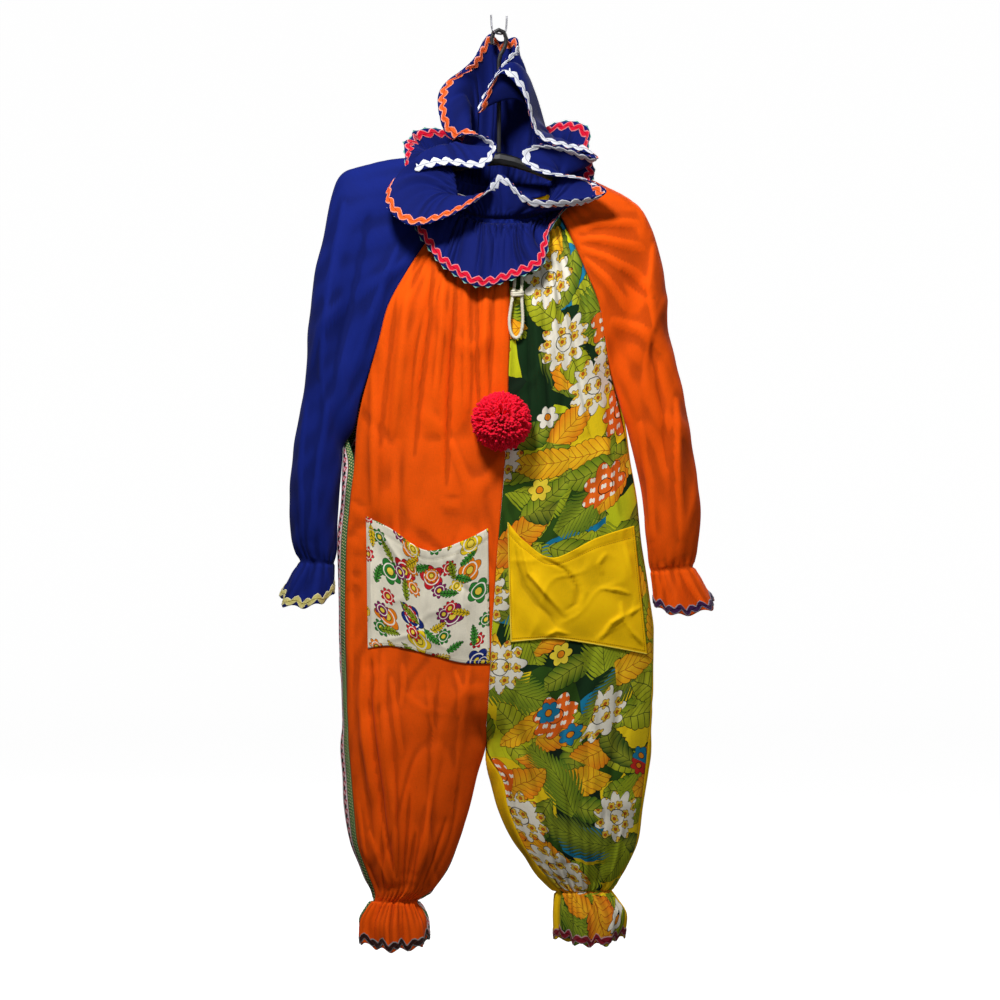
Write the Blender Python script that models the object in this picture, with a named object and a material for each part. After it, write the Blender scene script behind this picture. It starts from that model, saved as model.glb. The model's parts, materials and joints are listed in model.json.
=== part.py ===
"""A clown jumpsuit that hangs from a plastic hanger, as cloth walls, trims and the hanger.

Frame: the wearer's right is -X, the front faces -Y, +Z is up. The origin is where the wire that
carries the hanger is held. Lengths in this file are millimetres; MM turns them into metres.
"""

import bmesh
import bpy
from math import cos, exp, floor, pi, radians, sin
from mathutils import Vector

MM = 0.001

# ---------------------------------------------------------------- driving dimensions
CLOTH = 1.5              # wall of one layer of cotton with its turnings
SEAM_GAP = 0.5           # from a piece's edge to the middle of its seam
UNDERARM_ROOM = 1.3      # by which each row under the arm sets the sleeve further out
LAID_ON = 0.8            # clearance of a piece that lies on another
PANEL_COLUMNS = 11       # stretches across one body panel
SLEEVE_COLUMNS = 20      # stretches around a sleeve
RUFFLE_COLUMNS = 100     # stretches around the upper ruffle
FLOUNCE_COLUMNS = 72     # stretches around the lower ruffle
CASING_FOOT = 0.14       # share of its rise at which the neck casing starts
CASING_TOP = 1.0
HEM_RISE = 18.0          # by which an ankle frill's hem curves up to its seams
WRIST_DROP = {"front": 20.0, "back": -6.0}    # by which a wrist frill's hem hangs lower
NECK_GATHERS = (3.0, 1.5, 1.6, 3.5)      # height, row where they are deepest, reach, count
ANKLE_GATHERS = (1.5, 0.8, 3.5)          # height, reach in rows, count
ANKLE_FRILL = (7.0, 2.5)                 # height and count of a frill's waves
WRIST_GATHERS = (1.2, 0.8, 5)
WRIST_FRILL = (7.0, 5)
SEAM_EASE = 6.0          # how fast a panel's folds grow from its seams, and a sleeve's
SLEEVE_EASE = 5.0
POCKET_STAND = 0.6       # more room under a pocket than under a braid
POCKET_PUFF = 4.0        # by which a pocket's middle stands out
CORD_DIAMETER = 6.0
CORD_STEPS = 34
POMPOM_RADIUS = 50.0
POMPOM_CORE = 0.52       # radius of its core, as a share of the ball's
POMPOM_SINK = 0.5        # where its middle stands before the cloth, as a share of the radius
POMPOM_PLACE = (4.0, -676.0)
LOCK_TIP = 0.72          # size of a lock's tip, as a share of its root
LOCK_SWIRL = 0.05        # how far the locks lean aside
LOCK_UNEVEN = 1.5        # by which some locks are shorter
BRAID_BREADTH = 16.0     # all that a rickrack braid covers as it zigzags
BRAID_THICK = 1.0
MITRE_LIMIT = 1.0        # holds a wall's mitre back at its sharpest bends
WIRE_RADIUS = 1.5
HOOK_RADIUS = 3.6
ARM_RADIUS = 7.0
ARM_FLAT = 0.9           # height of an arm's section, as a share of its depth

# ---------------------------------------------------------------- tables
# Body, neck to crotch, a row for each level. x_right and x_left are the side or raglan seams,
# x_mid the centre seam. front_* and back_* are the angles (degrees) around the oval section at
# which the front and the back panel start; sweep is the angle of the centre seam (90 is the
# front of the oval, 180 closes a leg). rise lifts the back neck, lift the raglan ends.
BODY_COLUMNS = ("z", "x_right", "front_right", "back_right", "x_mid", "x_left", "front_left",
                "back_left", "depth", "sweep", "rise", "lift")
BODY_ROWS = (
    (-361, -82, 30, -30, 15, 99, 30, -30, 42, 90, 59, 33),
    (-384, -117, 46, -46, 16, 120, 46, -46, 50, 90, 53, 10),
    (-424, -150, 52, -52, 16, 142, 52, -52, 56, 90, 43, 0),
    (-482, -182, 52, -50, 18, 165, 50, -46, 60, 90, 28, 0),
    (-540, -198, 46, -42, 18, 175, 40, -34, 62, 90, 16, 0),
    (-592, -213, 38, -28, 16, 183, 24, -16, 62, 90, 10, 0),
    (-639, -226, 30, -12, 15, 195, 12, 0, 61, 90, 3, 0),
    (-685, -235, 22, 4, 13, 206, 8, 4, 60, 90, 0, 0),
    (-738, -239, 20, 20, 10, 216, 6, 6, 60, 90, 0, 0),
    (-804, -246, 20, 20, 5, 228, 6, 6, 60, 90, 0, 0),
    (-878, -252, 20, 20, -2, 236, 6, 6, 60, 90, 0, 0),
    (-952, -254, 18, 18, -7, 247, 6, 6, 60, 90, 0, 0),
    (-1026, -254, 18, 18, -12, 254, 6, 6, 60, 92, 0, 0),
    (-1092, -252, 18, 18, -15, 254, 8, 8, 58, 100, 0, 0),
    (-1142, -251, 20, 20, -18, 251, 10, 10, 56, 118, 0, 0),
    (-1178, -249, 24, 24, -21, 249, 12, 12, 54, 148, 0, 0),
    (-1208, -248, 28, 28, -21, 246, 16, 16, 52, 174, 0, 0),
)
# Legs below the crotch. side is where the outer seam starts, inner the angle by which the front
# panel stops short of the leg's inner edge, where the back panel comes round.
LEG_COLUMNS = ("z", "x_out", "side", "x_in", "inner", "depth")
LEG_ROWS = {
    "right": (
        (-1257, -244, 30, -35, 6, 50),
        (-1315, -239, 32, -49, 6, 48),
        (-1373, -233, 32, -68, 6, 45),
        (-1417, -218, 30, -87, 6, 38),
        (-1450, -206, 24, -111, 6, 28),
        (-1468, -206, 20, -135, 6, 21),
        (-1487, -219, 20, -127, 6, 28),
        (-1510, -229, 20, -120, 6, 36),
        (-1546, -226, 20, -119, 6, 40),
    ),
    "left": (
        (-1257, 241, 14, -18, 32, 50),
        (-1315, 234, 14, -4, 34, 48),
        (-1373, 226, 16, 21, 36, 44),
        (-1411, 210, 18, 51, 36, 36),
        (-1437, 193, 18, 79, 34, 26),
        (-1452, 183, 18, 97, 30, 21),
        (-1472, 195, 18, 97, 26, 28),
        (-1497, 208, 18, 96, 24, 36),
        (-1538, 203, 18, 97, 24, 40),
    ),
}
CROTCH_ROW = len(BODY_ROWS) - 1
LAST_ROW = CROTCH_ROW + len(LEG_ROWS["right"])
ANKLE_ROW = LAST_ROW - 3

# Sleeves, a row for each section from the neck to the wrist frill. raglan is the body row whose
# raglan seam the section starts from; below the underarm the seam is at in_x, in_y, in_z.
SLEEVE_ROW_COLUMNS = ("raglan", "in_x", "in_y", "in_z", "out_x", "out_z", "depth", "sweep")
SLEEVE_ROWS = {
    "right": (
        (0, 0, 0, 0, -97, -243, 21, 90),
        (1, 0, 0, 0, -144, -238, 40, 90),
        (2, 0, 0, 0, -183, -241, 45, 90),
        (3, 0, 0, 0, -223, -251, 48, 90),
        (4, 0, 0, 0, -257, -264, 48, 90),
        (5, 0, 0, 0, -277, -302, 46, 100),
        (6, 0, 0, 0, -289, -361, 44, 125),
        (7, 0, 0, 0, -304, -421, 42, 165),
        (None, -259, -6, -718, -312, -493, 42, 180),
        (None, -262, -4, -761, -320, -569, 42, 180),
        (None, -266, -2, -804, -328, -647, 42, 180),
        (None, -269, 0, -840, -337, -724, 40, 180),
        (None, -271, 0, -870, -345, -800, 36, 180),
        (None, -273, 0, -893, -342, -863, 28, 180),
        (None, -277, 0, -909, -330, -904, 20, 180),
        (None, -276, 0, -927, -345, -929, 28, 180),
        (None, -274, 0, -955, -365, -965, 36, 180),
    ),
    "left": (
        (0, 0, 0, 0, 107, -262, 21, 90),
        (1, 0, 0, 0, 140, -272, 40, 90),
        (2, 0, 0, 0, 177, -287, 45, 90),
        (3, 0, 0, 0, 213, -305, 48, 90),
        (4, 0, 0, 0, 243, -332, 48, 90),
        (5, 0, 0, 0, 264, -380, 46, 110),
        (6, 0, 0, 0, 276, -444, 43, 168),
        (None, 213, -4, -688, 280, -515, 42, 180),
        (None, 226, -2, -741, 294, -576, 42, 180),
        (None, 236, 0, -787, 307, -639, 42, 180),
        (None, 241, 0, -827, 318, -708, 42, 180),
        (None, 244, 0, -860, 328, -779, 40, 180),
        (None, 247, 0, -886, 330, -837, 36, 180),
        (None, 249, 0, -906, 325, -886, 28, 180),
        (None, 252, 0, -921, 322, -914, 20, 180),
        (None, 254, 0, -940, 338, -936, 28, 180),
        (None, 257, 0, -975, 360, -970, 36, 180),
    ),
}
WRIST_ROW = len(SLEEVE_ROWS["right"]) - 3
WRIST_BRAID_ROWS = 0.45
ANKLE_BRAID_ROWS = 0.6

# The neck casing: its rise above the neck seam at angles around the neck, from the centre front
# by way of the wearer's right.
CASING_RISE = (
    (0, 0, -2, 20),
    (45, 9, -6, 17),
    (70, 14, -8, 12),
    (90, 13, -8, 13),
    (110, 6, -2, 19),
    (130, 12, 6, 15),
    (150, 6, 3, 19),
    (180, 0, 0, 20),
    (235, -5, 3, 19),
    (255, -10, 6, 16),
    (265, -6, 0, 19),
    (285, -13, -8, 13),
    (305, -14, -8, 12),
    (325, -8, -6, 17),
    (350, -2, -2, 20),
)

# Ruffles: where the free edge and the middle of the cloth lie over each angle around the neck,
# from the centre front by way of the wearer's right.
RUFFLE_ROW_COLUMNS = ("turn", "edge_x", "edge_y", "edge_z", "mid_x", "mid_y", "mid_z")
UPPER_RUFFLE = (
    (0, 3, -64, -269, 12, -56, -314),
    (15, -31, -85, -309, -15, -66, -302),
    (30, -84, -100, -342, -56, -64, -304),
    (44, -144, -104, -356, -98, -66, -302),
    (58, -184, -88, -322, -132, -60, -286),
    (70, -172, -56, -282, -132, -46, -250),
    (84, -97, -50, -254, -108, -32, -222),
    (98, -28, -56, -258, -68, -34, -216),
    (108, 0, -60, -231, -48, -26, -219),
    (118, -21, -46, -200, -48, -12, -219),
    (132, -78, -36, -206, -45, -4, -165),
    (144, -101, -22, -170, -51, 10, -139),
    (156, -81, 0, -101, -41, 22, -122),
    (168, -41, 8, -63, -25, 28, -118),
    (177, -16, 9, -30, -8, 32, -118),
    (184, 2, 24, -40, 3, 35, -120),
    (191, 26, 16, -34, 17, 34, -122),
    (197, 30, -8, -50, 34, 24, -112),
    (203, 6, -26, -82, 46, 14, -104),
    (216, -28, -34, -138, 53, 8, -130),
    (224, -36, -47, -168, 45, -8, -150),
    (232, -14, -58, -122, 31, -28, -116),
    (241, 8, -60, -104, 45, -24, -104),
    (252, 41, -56, -140, 59, -16, -127),
    (262, 62, -48, -204, 76, -8, -190),
    (270, 104, -32, -221, 108, -2, -210),
    (276, 148, -16, -230, 132, -8, -222),
    (281, 164, -34, -240, 144, -18, -238),
    (286, 152, -54, -240, 140, -32, -256),
    (292, 104, -60, -224, 116, -38, -252),
    (298, 54, -60, -221, 98, -40, -248),
    (304, 35, -62, -243, 92, -46, -256),
    (312, 69, -64, -268, 104, -52, -272),
    (323, 147, -60, -280, 140, -56, -290),
    (330, 175, -76, -300, 147, -66, -312),
    (340, 117, -90, -312, 111, -76, -322),
    (350, 48, -86, -309, 51, -74, -326),
)
LOWER_RUFFLE = (
    (0, 7, -86, -447, 9, -68, -395),
    (20, -35, -84, -454, -22, -68, -395),
    (38, -78, -78, -431, -60, -60, -375),
    (55, -114, -68, -394, -90, -50, -345),
    (72, -142, -56, -340, -117, -34, -300),
    (88, -154, -33, -266, -130, -20, -240),
    (100, -157, -2, -218, -130, 0, -223),
    (112, -149, 20, -202, -124, 18, -219),
    (125, -138, 36, -188, -112, 36, -228),
    (145, -97, 54, -183, -78, 52, -232),
    (180, 2, 64, -203, 4, 58, -245),
    (205, 68, 58, -183, 52, 54, -235),
    (225, 111, 48, -170, 86, 46, -235),
    (240, 147, 34, -182, 116, 34, -235),
    (254, 150, 16, -217, 128, 14, -240),
    (264, 156, -4, -264, 132, -4, -254),
    (276, 134, -34, -294, 124, -22, -276),
    (292, 106, -50, -328, 110, -36, -308),
    (308, 86, -62, -354, 90, -48, -340),
    (325, 79, -73, -390, 66, -58, -370),
    (342, 68, -84, -421, 48, -66, -385),
)
RUFFLE_BREADTHS = (0.0, 0.04, 0.32, 0.64, 1.0)      # rows from the neck to the braid's edge
BREADTH_STEPS = 25

# Patch pockets, a row for each place along the opening: top and bottom points, and how far the
# opening stands off the panel.
POCKET_COLUMNS = ("top_x", "top_z", "bottom_x", "bottom_z", "gape")
POCKET_ROWS = {
    "right": (
        (-219, -830, -216, -1048, 1),
        (-177, -851, -177, -1044, 8),
        (-119, -886, -119, -1056, 14),
        (-61, -871, -61, -1071, 8),
        (-18, -850, -15, -1072, 1),
    ),
    "left": (
        (15, -840, 20, -1036, 1),
        (41, -870, 51, -1033, 6),
        (89, -898, 94, -1031, 12),
        (160, -866, 177, -1044, 8),
        (223, -846, 245, -1058, 1),
    ),
}

# Large folds of the body panels: two ends in x and z, half width, and height off the panel.
FOLD_COLUMNS = ("x0", "z0", "x1", "z1", "width", "height")
FRONT_FOLDS = (
    (-208, -600, -202, -830, 16, 9),
    (-150, -420, -165, -700, 18, 5),
    (-90, -430, -110, -760, 22, 5),
    (-30, -470, -45, -700, 20, 4),
    (-206, -1080, -168, -1440, 20, 12),
    (-120, -1120, -140, -1420, 26, 7),
    (-60, -1090, -95, -1330, 20, 6),
    (70, -430, 80, -740, 18, 5),
    (120, -440, 140, -700, 18, 6),
    (150, -560, 205, -860, 16, 7),
    (60, -1080, 110, -1400, 24, 9),
    (170, -1080, 165, -1400, 22, 8),
    (110, -1100, 60, -1300, 18, -5),
)
BACK_FOLDS = (
    (-150, -420, -150, -800, 22, 7),
    (-60, -400, -70, -760, 22, 6),
    (60, -400, 70, -760, 22, 6),
    (140, -430, 160, -820, 22, 7),
    (-190, -1000, -165, -1400, 22, 10),
    (-90, -1150, -130, -1400, 22, 7),
    (190, -1000, 165, -1390, 22, 9),
    (80, -1150, 110, -1380, 22, 7),
)

# Route of the cord: out of the casing, down behind the lower ruffle, a loop, and back up.
DRAWSTRING_ROUTE = (
    (24, -51, -372), (25, -58, -388), (26, -62, -408), (26, -65, -440), (24, -68, -462),
    (20, -69, -485), (17, -69, -510), (20, -69, -530), (28, -69, -538), (36, -69, -530),
    (39, -69, -510), (38, -69, -485), (37, -68, -462), (38, -65, -440), (38, -62, -408),
    (36, -58, -388), (34, -51, -372),
)

# The hanger's arms, from the wearer's right tip to the left tip, just under the shoulder folds,
# with the share of the full thickness at each place; then its hook and the wire it hangs in.
HANGER_ARMS = (
    (-243, 0, -277, 0.8), (-223, 0, -264, 0.95), (-183, 0, -253, 1.0), (-140, 0, -250, 1.0),
    (-97, 0, -255, 1.0), (-50, 0, -247, 1.2), (0, 0, -238, 1.5), (50, 0, -252, 1.2),
    (100, 0, -273, 1.0), (140, 0, -284, 1.0), (177, 0, -299, 1.0), (211, 0, -318, 0.95),
    (230, 0, -336, 0.8),
)
HOOK_ROUTE = (
    (0, 0, -227.1), (0, 0, -180), (0, 0, -130), (0, 0, -78), (3, 0, -64), (10, 0, -52),
    (12, 0, -38), (8.5, 0, -28), (0, 0, -24), (-8.5, 0, -28), (-12, 0, -37), (-11, 0, -48),
)
WIRE_ROUTE = (
    (-13, -8, 0), (-12.5, -8, -14), (-11, -8, -25), (-6, -6, -30), (0, 0, -30.7), (6, 6, -30),
    (11, 8, -25), (12.5, 8, -14), (13, 8, 0),
)

# A Principled material's base colour, roughness and metallic.
MATERIALS = {
    "orange_cotton": ((0.80, 0.10, 0.006), 0.75, 0.0),
    "blue_cotton": ((0.012, 0.022, 0.28), 0.7, 0.0),
    "print_cotton": ((0.22, 0.36, 0.04), 0.7, 0.0),
    "calico": ((0.75, 0.6, 0.58), 0.8, 0.0),
    "yellow_cotton": ((0.68, 0.42, 0.012), 0.7, 0.0),
    "white_cotton": ((0.82, 0.8, 0.72), 0.75, 0.0),
    "red_yarn": ((0.85, 0.01, 0.03), 0.85, 0.0),
    "cream_cord": ((0.72, 0.66, 0.5), 0.8, 0.0),
    "red_braid": ((0.68, 0.01, 0.04), 0.7, 0.0),
    "cream_braid": ((0.75, 0.66, 0.22), 0.7, 0.0),
    "purple_braid": ((0.05, 0.01, 0.08), 0.7, 0.0),
    "brown_braid": ((0.03, 0.008, 0.008), 0.7, 0.0),
    "wine_braid": ((0.26, 0.01, 0.02), 0.7, 0.0),
    "black_plastic": ((0.012, 0.012, 0.013), 0.4, 0.0),
    "grey_wire": ((0.45, 0.45, 0.47), 0.3, 1.0),
}


# ---------------------------------------------------------------- small helpers
def material(name):
    """The Principled material of that name."""
    if name in bpy.data.materials:
        return bpy.data.materials[name]
    colour, roughness, metallic = MATERIALS[name]
    result = bpy.data.materials.new(name)
    result.use_nodes = True
    shader = result.node_tree.nodes["Principled BSDF"]
    shader.inputs["Base Color"].default_value = (*colour, 1.0)
    shader.inputs["Roughness"].default_value = roughness
    shader.inputs["Metallic"].default_value = metallic
    result.diffuse_color = (*colour, 1.0)
    return result


def add_object(name, mesh, material_name):
    """Links a mesh as a named object, smooth but for its sharp rims."""
    mesh.materials.append(material(material_name))
    mesh.shade_smooth()
    mesh.set_sharp_from_angle(angle=radians(50))
    item = bpy.data.objects.new(name, mesh)
    bpy.context.scene.collection.objects.link(item)
    return item


def mesh_object(name, points, faces, material_name):
    """An object from points in millimetres and faces."""
    mesh = bpy.data.meshes.new(name)
    mesh.from_pydata([point * MM for point in points], [], faces)
    mesh.validate()
    return add_object(name, mesh, material_name)


def curve_value(rows, place):
    """A smooth value between the rows of a table, at a fractional row."""
    last = len(rows) - 1
    place = min(max(place, 0.0), float(last))
    index = min(int(floor(place)), last - 1)
    u = place - index
    before = rows[max(index - 1, 0)]
    here, after = rows[index], rows[index + 1]
    beyond = rows[min(index + 2, last)]
    result = []
    for a, b, c, d in zip(before, here, after, beyond):
        slope_in, slope_out = 0.5 * (c - a), 0.5 * (d - b)
        result.append((2 * u**3 - 3 * u**2 + 1) * b + (u**3 - 2 * u**2 + u) * slope_in
                      + (3 * u**2 - 2 * u**3) * c + (u**3 - u**2) * slope_out)
    return result


def spread(points, count, trim_start=0.0, trim_end=0.0):
    """count + 1 points at equal steps along a polyline, its ends trimmed by a length."""
    lengths = [0.0]
    for a, b in zip(points, points[1:]):
        lengths.append(lengths[-1] + (b - a).length)
    start, end = trim_start, lengths[-1] - trim_end
    result, k = [], 0
    for step in range(count + 1):
        target = start + (end - start) * step / count
        while k < len(points) - 2 and lengths[k + 1] < target:
            k += 1
        share = (target - lengths[k]) / max(lengths[k + 1] - lengths[k], 1e-9)
        result.append(points[k].lerp(points[k + 1], share))
    return result


def grid_normals(grid, closed):
    """Normals of a grid of points, longer where it bends, as a mitre is."""
    rows, columns = len(grid), len(grid[0])
    result = []
    for i in range(rows):
        line = []
        for j in range(columns):
            along = grid[min(i + 1, rows - 1)][j] - grid[max(i - 1, 0)][j]
            before = grid[i][j] - grid[i][j - 1] if closed or j > 0 else None
            after = grid[i][(j + 1) % columns] - grid[i][j] if closed or j < columns - 1 else None
            sides = [across.cross(along).normalized() for across in (before, after) if across]
            total = sum(sides, Vector())
            line.append(total / max(total.length_squared / len(sides), MITRE_LIMIT))
        result.append(line)
    return result


def wall_faces(grid, twin, normals, closed, thick):
    """Points and faces of a closed wall around a grid, split along the diagonals of its twin."""
    rows, columns = len(grid), len(grid[0])
    points = [grid[i][j] + normals[i][j] * (side * thick)
              for side in (0.5, -0.5) for i in range(rows) for j in range(columns)]
    back = rows * columns
    faces = []
    spans = columns if closed else columns - 1
    for i in range(rows - 1):
        for j in range(spans):
            k = (j + 1) % columns
            a, b = i * columns + j, i * columns + k
            c, d = a + columns, b + columns
            if (twin[i][j] - twin[i + 1][k]).length < (twin[i][k] - twin[i + 1][j]).length:
                halves = ((a, b, d), (a, d, c))
            else:
                halves = ((a, b, c), (b, d, c))
            for p, q, r in halves:
                faces.append((p, q, r))
                faces.append((back + r, back + q, back + p))
    return points, faces


def wall(name, grid, material_name, closed=False, thick=CLOTH, normals=None, twin=None):
    """A closed wall of cloth around a grid of points. twin is a grid whose diagonals it takes."""
    rows, columns = len(grid), len(grid[0])
    normals = normals or grid_normals(grid, closed)
    points, faces = wall_faces(grid, twin or grid, normals, closed, thick)
    back = rows * columns
    for j in range(columns if closed else columns - 1):
        k = (j + 1) % columns
        faces.append((back + j, back + k, k, j))
        first, second = (rows - 1) * columns + j, (rows - 1) * columns + k
        faces.append((first, second, back + second, back + first))
    if not closed:
        for i in range(rows - 1):
            a, c = i * columns, (i + 1) * columns
            faces.append((a, c, back + c, back + a))
            b, d = a + columns - 1, c + columns - 1
            faces.append((back + b, back + d, d, b))
    return mesh_object(name, points, faces, material_name)


def tube(name, route, radius, material_name, sides=8, flat=1.0, scale=None):
    """A closed tube along a route; flat squeezes it in Y, scale varies its radius."""
    points, faces = [], []
    count = len(route)
    for i, centre in enumerate(route):
        ahead = (route[min(i + 1, count - 1)] - route[max(i - 1, 0)]).normalized()
        first = ahead.cross(Vector((0, 1, 0)))
        if first.length < 0.2:
            first = ahead.cross(Vector((1, 0, 0)))
        first.normalize()
        second = ahead.cross(first).normalized()
        size = radius * (scale[i] if scale else 1.0)
        for j in range(sides):
            turn = 2 * pi * j / sides
            points.append(centre + first * (size * cos(turn)) + second * (size * flat * sin(turn)))
    for i in range(count - 1):
        for j in range(sides):
            k = (j + 1) % sides
            faces.append((i * sides + j, i * sides + k, (i + 1) * sides + k, (i + 1) * sides + j))
    faces.append(tuple(reversed(range(sides))))
    faces.append(tuple((count - 1) * sides + j for j in range(sides)))
    return mesh_object(name, points, faces, material_name)


def smooth_route(points, steps):
    """A smooth route of steps stretches through hand-placed points."""
    rows = [tuple(point) for point in points]
    span = len(rows) - 1
    fine = [Vector(curve_value(rows, span * i / (steps * 4))) for i in range(steps * 4 + 1)]
    return spread(fine, steps)


# ---------------------------------------------------------------- the body
def table_rows(side):
    """One half's rows: z, seam x, front angle, back angle, inner x, inner angle, depth, sweep,
    rise, lift, from the neck to the ankle frill."""
    result = []
    for values in BODY_ROWS:
        row = dict(zip(BODY_COLUMNS, values))
        result.append((row["z"], row["x_" + side], row["front_" + side], row["back_" + side],
                       row["x_mid"], 0.0, row["depth"], row["sweep"], row["rise"], row["lift"]))
    for values in LEG_ROWS[side]:
        row = dict(zip(LEG_COLUMNS, values))
        result.append((row["z"], row["x_out"], row["side"], row["side"], row["x_in"],
                       row["inner"], row["depth"], 180.0, 0.0, 0.0))
    return result


HALVES = {side: table_rows(side) for side in ("right", "left")}


def fold_height(folds, x, z):
    """How far the large folds lift the cloth at a place on a panel."""
    total = 0.0
    for x0, z0, x1, z1, width, height in folds:
        run = Vector((x1 - x0, z1 - z0))
        reach = Vector((x - x0, z - z0))
        share = reach.dot(run) / run.length_squared
        if -0.15 < share < 1.15:
            aside = (reach - run * share).length
            fade = sin(pi * min(max(share, 0.0), 1.0)) ** 0.5
            total += height * fade * exp(-((aside / width) ** 2))
    return total


def ripple(side, face, row, share):
    """Gathers under the neck and at the ankle, and the waves of the ankle frill."""
    shift = {"right": 0.0, "left": 0.35}[side] + (0.5 if face == "back" else 0.0)
    edge = sin(pi * min(max(share, 0.0), 1.0)) ** 0.5
    height, deepest, reach, count = NECK_GATHERS
    gather = (height * exp(-((row - deepest) / reach) ** 2) * min(row, 1.0)
              * cos(2 * pi * count * share))
    height, reach, count = ANKLE_GATHERS
    ankle = height * exp(-((row - ANKLE_ROW) / reach) ** 2) * cos(2 * pi * count * share)
    height, count = ANKLE_FRILL
    wave = height * frill_share(row) * cos(2 * pi * (count * share + shift))
    return (gather + ankle + wave) * edge


def frill_share(row):
    """How far down an ankle frill a row is, from 0 at its gathers to 1 at its hem."""
    return max(0.0, row - ANKLE_ROW) / (LAST_ROW - ANKLE_ROW)


def panel_line(side, face, row, count, trim=SEAM_GAP):
    """Points across one panel at a level, from its outer seam to its inner seam."""
    (z, seam_x, front, back, inner_x, inner, depth, sweep, rise, lift) = curve_value(
        HALVES[side], row)
    away = 1.0 if side == "left" else -1.0
    squeeze = sin(radians(max(0.0, sweep - 90.0))) if row <= CROTCH_ROW else 0.0
    inner_x += away * (0.5 * CLOTH + SEAM_GAP) * squeeze
    end = cos(radians(sweep))
    outer_x = inner_x - (inner_x - seam_x) * (1 - end) / (cos(radians(front)) - end)
    if face == "front":
        start, stop = front, sweep - inner
    else:
        start, stop = back, -(sweep + inner)
    fine = []
    steps = 90
    for i in range(steps + 1):
        angle = radians(start + (stop - start) * i / steps)
        x = outer_x + (inner_x - outer_x) * (1 - cos(angle)) / (1 - end)
        y = -depth * sin(angle)
        share = i / steps
        up = lift * (1 - share) ** 2.5
        if face == "back":
            up = rise + 0.5 * lift * (1 - share) ** 2.5
        fine.append(Vector((x, y, z + up)))
    line = spread(fine, count, trim, trim)
    folds = FRONT_FOLDS if face == "front" else BACK_FOLDS
    result = []
    for j, point in enumerate(line):
        before, after = line[max(j - 1, 0)], line[min(j + 1, count)]
        normal = Vector((after.y - before.y, -(after.x - before.x), 0)).normalized()
        if (face == "front") == (side == "right"):
            outward = normal
        else:
            outward = -normal
        share = j / count
        edge = min(1.0, SEAM_EASE * min(share, 1 - share))
        height = fold_height(folds, point.x, point.z) * edge + ripple(side, face, row, share)
        hem = HEM_RISE * frill_share(row) * (1 - sin(pi * share) ** 0.5)
        result.append(point + outward * height + Vector((0.0, 0.0, hem)))
    return result


def panel(side, face, material_name):
    """One body and leg panel."""
    grid = [panel_line(side, face, row, PANEL_COLUMNS)
            for row in (*range(LAST_ROW), LAST_ROW - ANKLE_BRAID_ROWS, LAST_ROW)]
    if (face == "front") != (side == "right"):
        grid = [list(reversed(line)) for line in grid]
    wall(f"{face}_{side}", grid, material_name)
    return grid[-3:]


# ---------------------------------------------------------------- sleeves
def sleeve_line(side, row, count, trim=1.2):
    """Points around a sleeve at a section, from its front seam over the outside to its back."""
    table = SLEEVE_ROWS[side]
    values = [dict(zip(SLEEVE_ROW_COLUMNS, line)) for line in table]
    away = 1.0 if side == "left" else -1.0
    ends = []
    for value in values:
        if value["raglan"] is None:
            seam = (value["in_x"], value["in_y"], value["in_z"])
            ends.append((*seam, *seam))
        else:
            aside = Vector((away * UNDERARM_ROOM * max(0, value["raglan"] - 4), 0.0, 0.0))
            front = panel_line(side, "front", value["raglan"], 1, 0.0)[0] + aside
            back = panel_line(side, "back", value["raglan"], 1, 0.0)[0] + aside
            ends.append((*front, *back))
    mixed = curve_value([(*end, value["out_x"], value["out_z"], value["depth"], value["sweep"])
                         for end, value in zip(ends, values)], row)
    front, back = Vector(mixed[0:3]), Vector(mixed[3:6])
    out_x, out_z, depth, sweep = mixed[6:]
    outer = Vector((out_x, 0.0, out_z))
    reach = radians(min(sweep, 180.0))
    frill = max(0.0, row - WRIST_ROW) / 2.0
    fine = []
    steps = 60
    for sign, seam in ((-1, front), (1, back)):
        half = []
        for i in range(steps + 1):
            angle = reach * i / steps
            share = (1 - cos(angle)) / (1 - cos(reach))
            base = outer.lerp(Vector((seam.x, 0.0, seam.z)), share)
            settle = (seam.y - sign * depth * sin(reach)) * (i / steps) ** 2
            drop = -WRIST_DROP["front" if sign < 0 else "back"] * frill * sin(angle)
            half.append(base + Vector((0.0, sign * depth * sin(angle) + settle, drop)))
        fine = list(reversed(half)) if sign < 0 else fine + half[1:]
    line = spread(fine, count, trim, trim)
    result = []
    for j, point in enumerate(line):
        before, after = line[max(j - 1, 0)], line[min(j + 1, count)]
        across = after - before
        normal = across.cross(Vector((0, 0, 1))).normalized()
        if side == "left":
            normal = -normal
        share = j / count
        edge = min(1.0, SLEEVE_EASE * min(share, 1 - share))
        height, folds = WRIST_FRILL
        wave = height * frill * cos(2 * pi * folds * share)
        height, extent, folds = WRIST_GATHERS
        wrist = height * exp(-((row - WRIST_ROW) / extent) ** 2) * cos(2 * pi * folds * share)
        result.append(point - normal * ((wave + wrist) * edge))
    return result


def sleeve(side, material_name):
    """One raglan sleeve with its wrist frill."""
    last = len(SLEEVE_ROWS[side]) - 1
    grid = [sleeve_line(side, row, SLEEVE_COLUMNS)
            for row in (*range(last), last - WRIST_BRAID_ROWS, last)]
    if side == "right":
        grid = [list(reversed(line)) for line in grid]
    wall(f"sleeve_{side}", grid, material_name)
    return grid[-3:]


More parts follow.
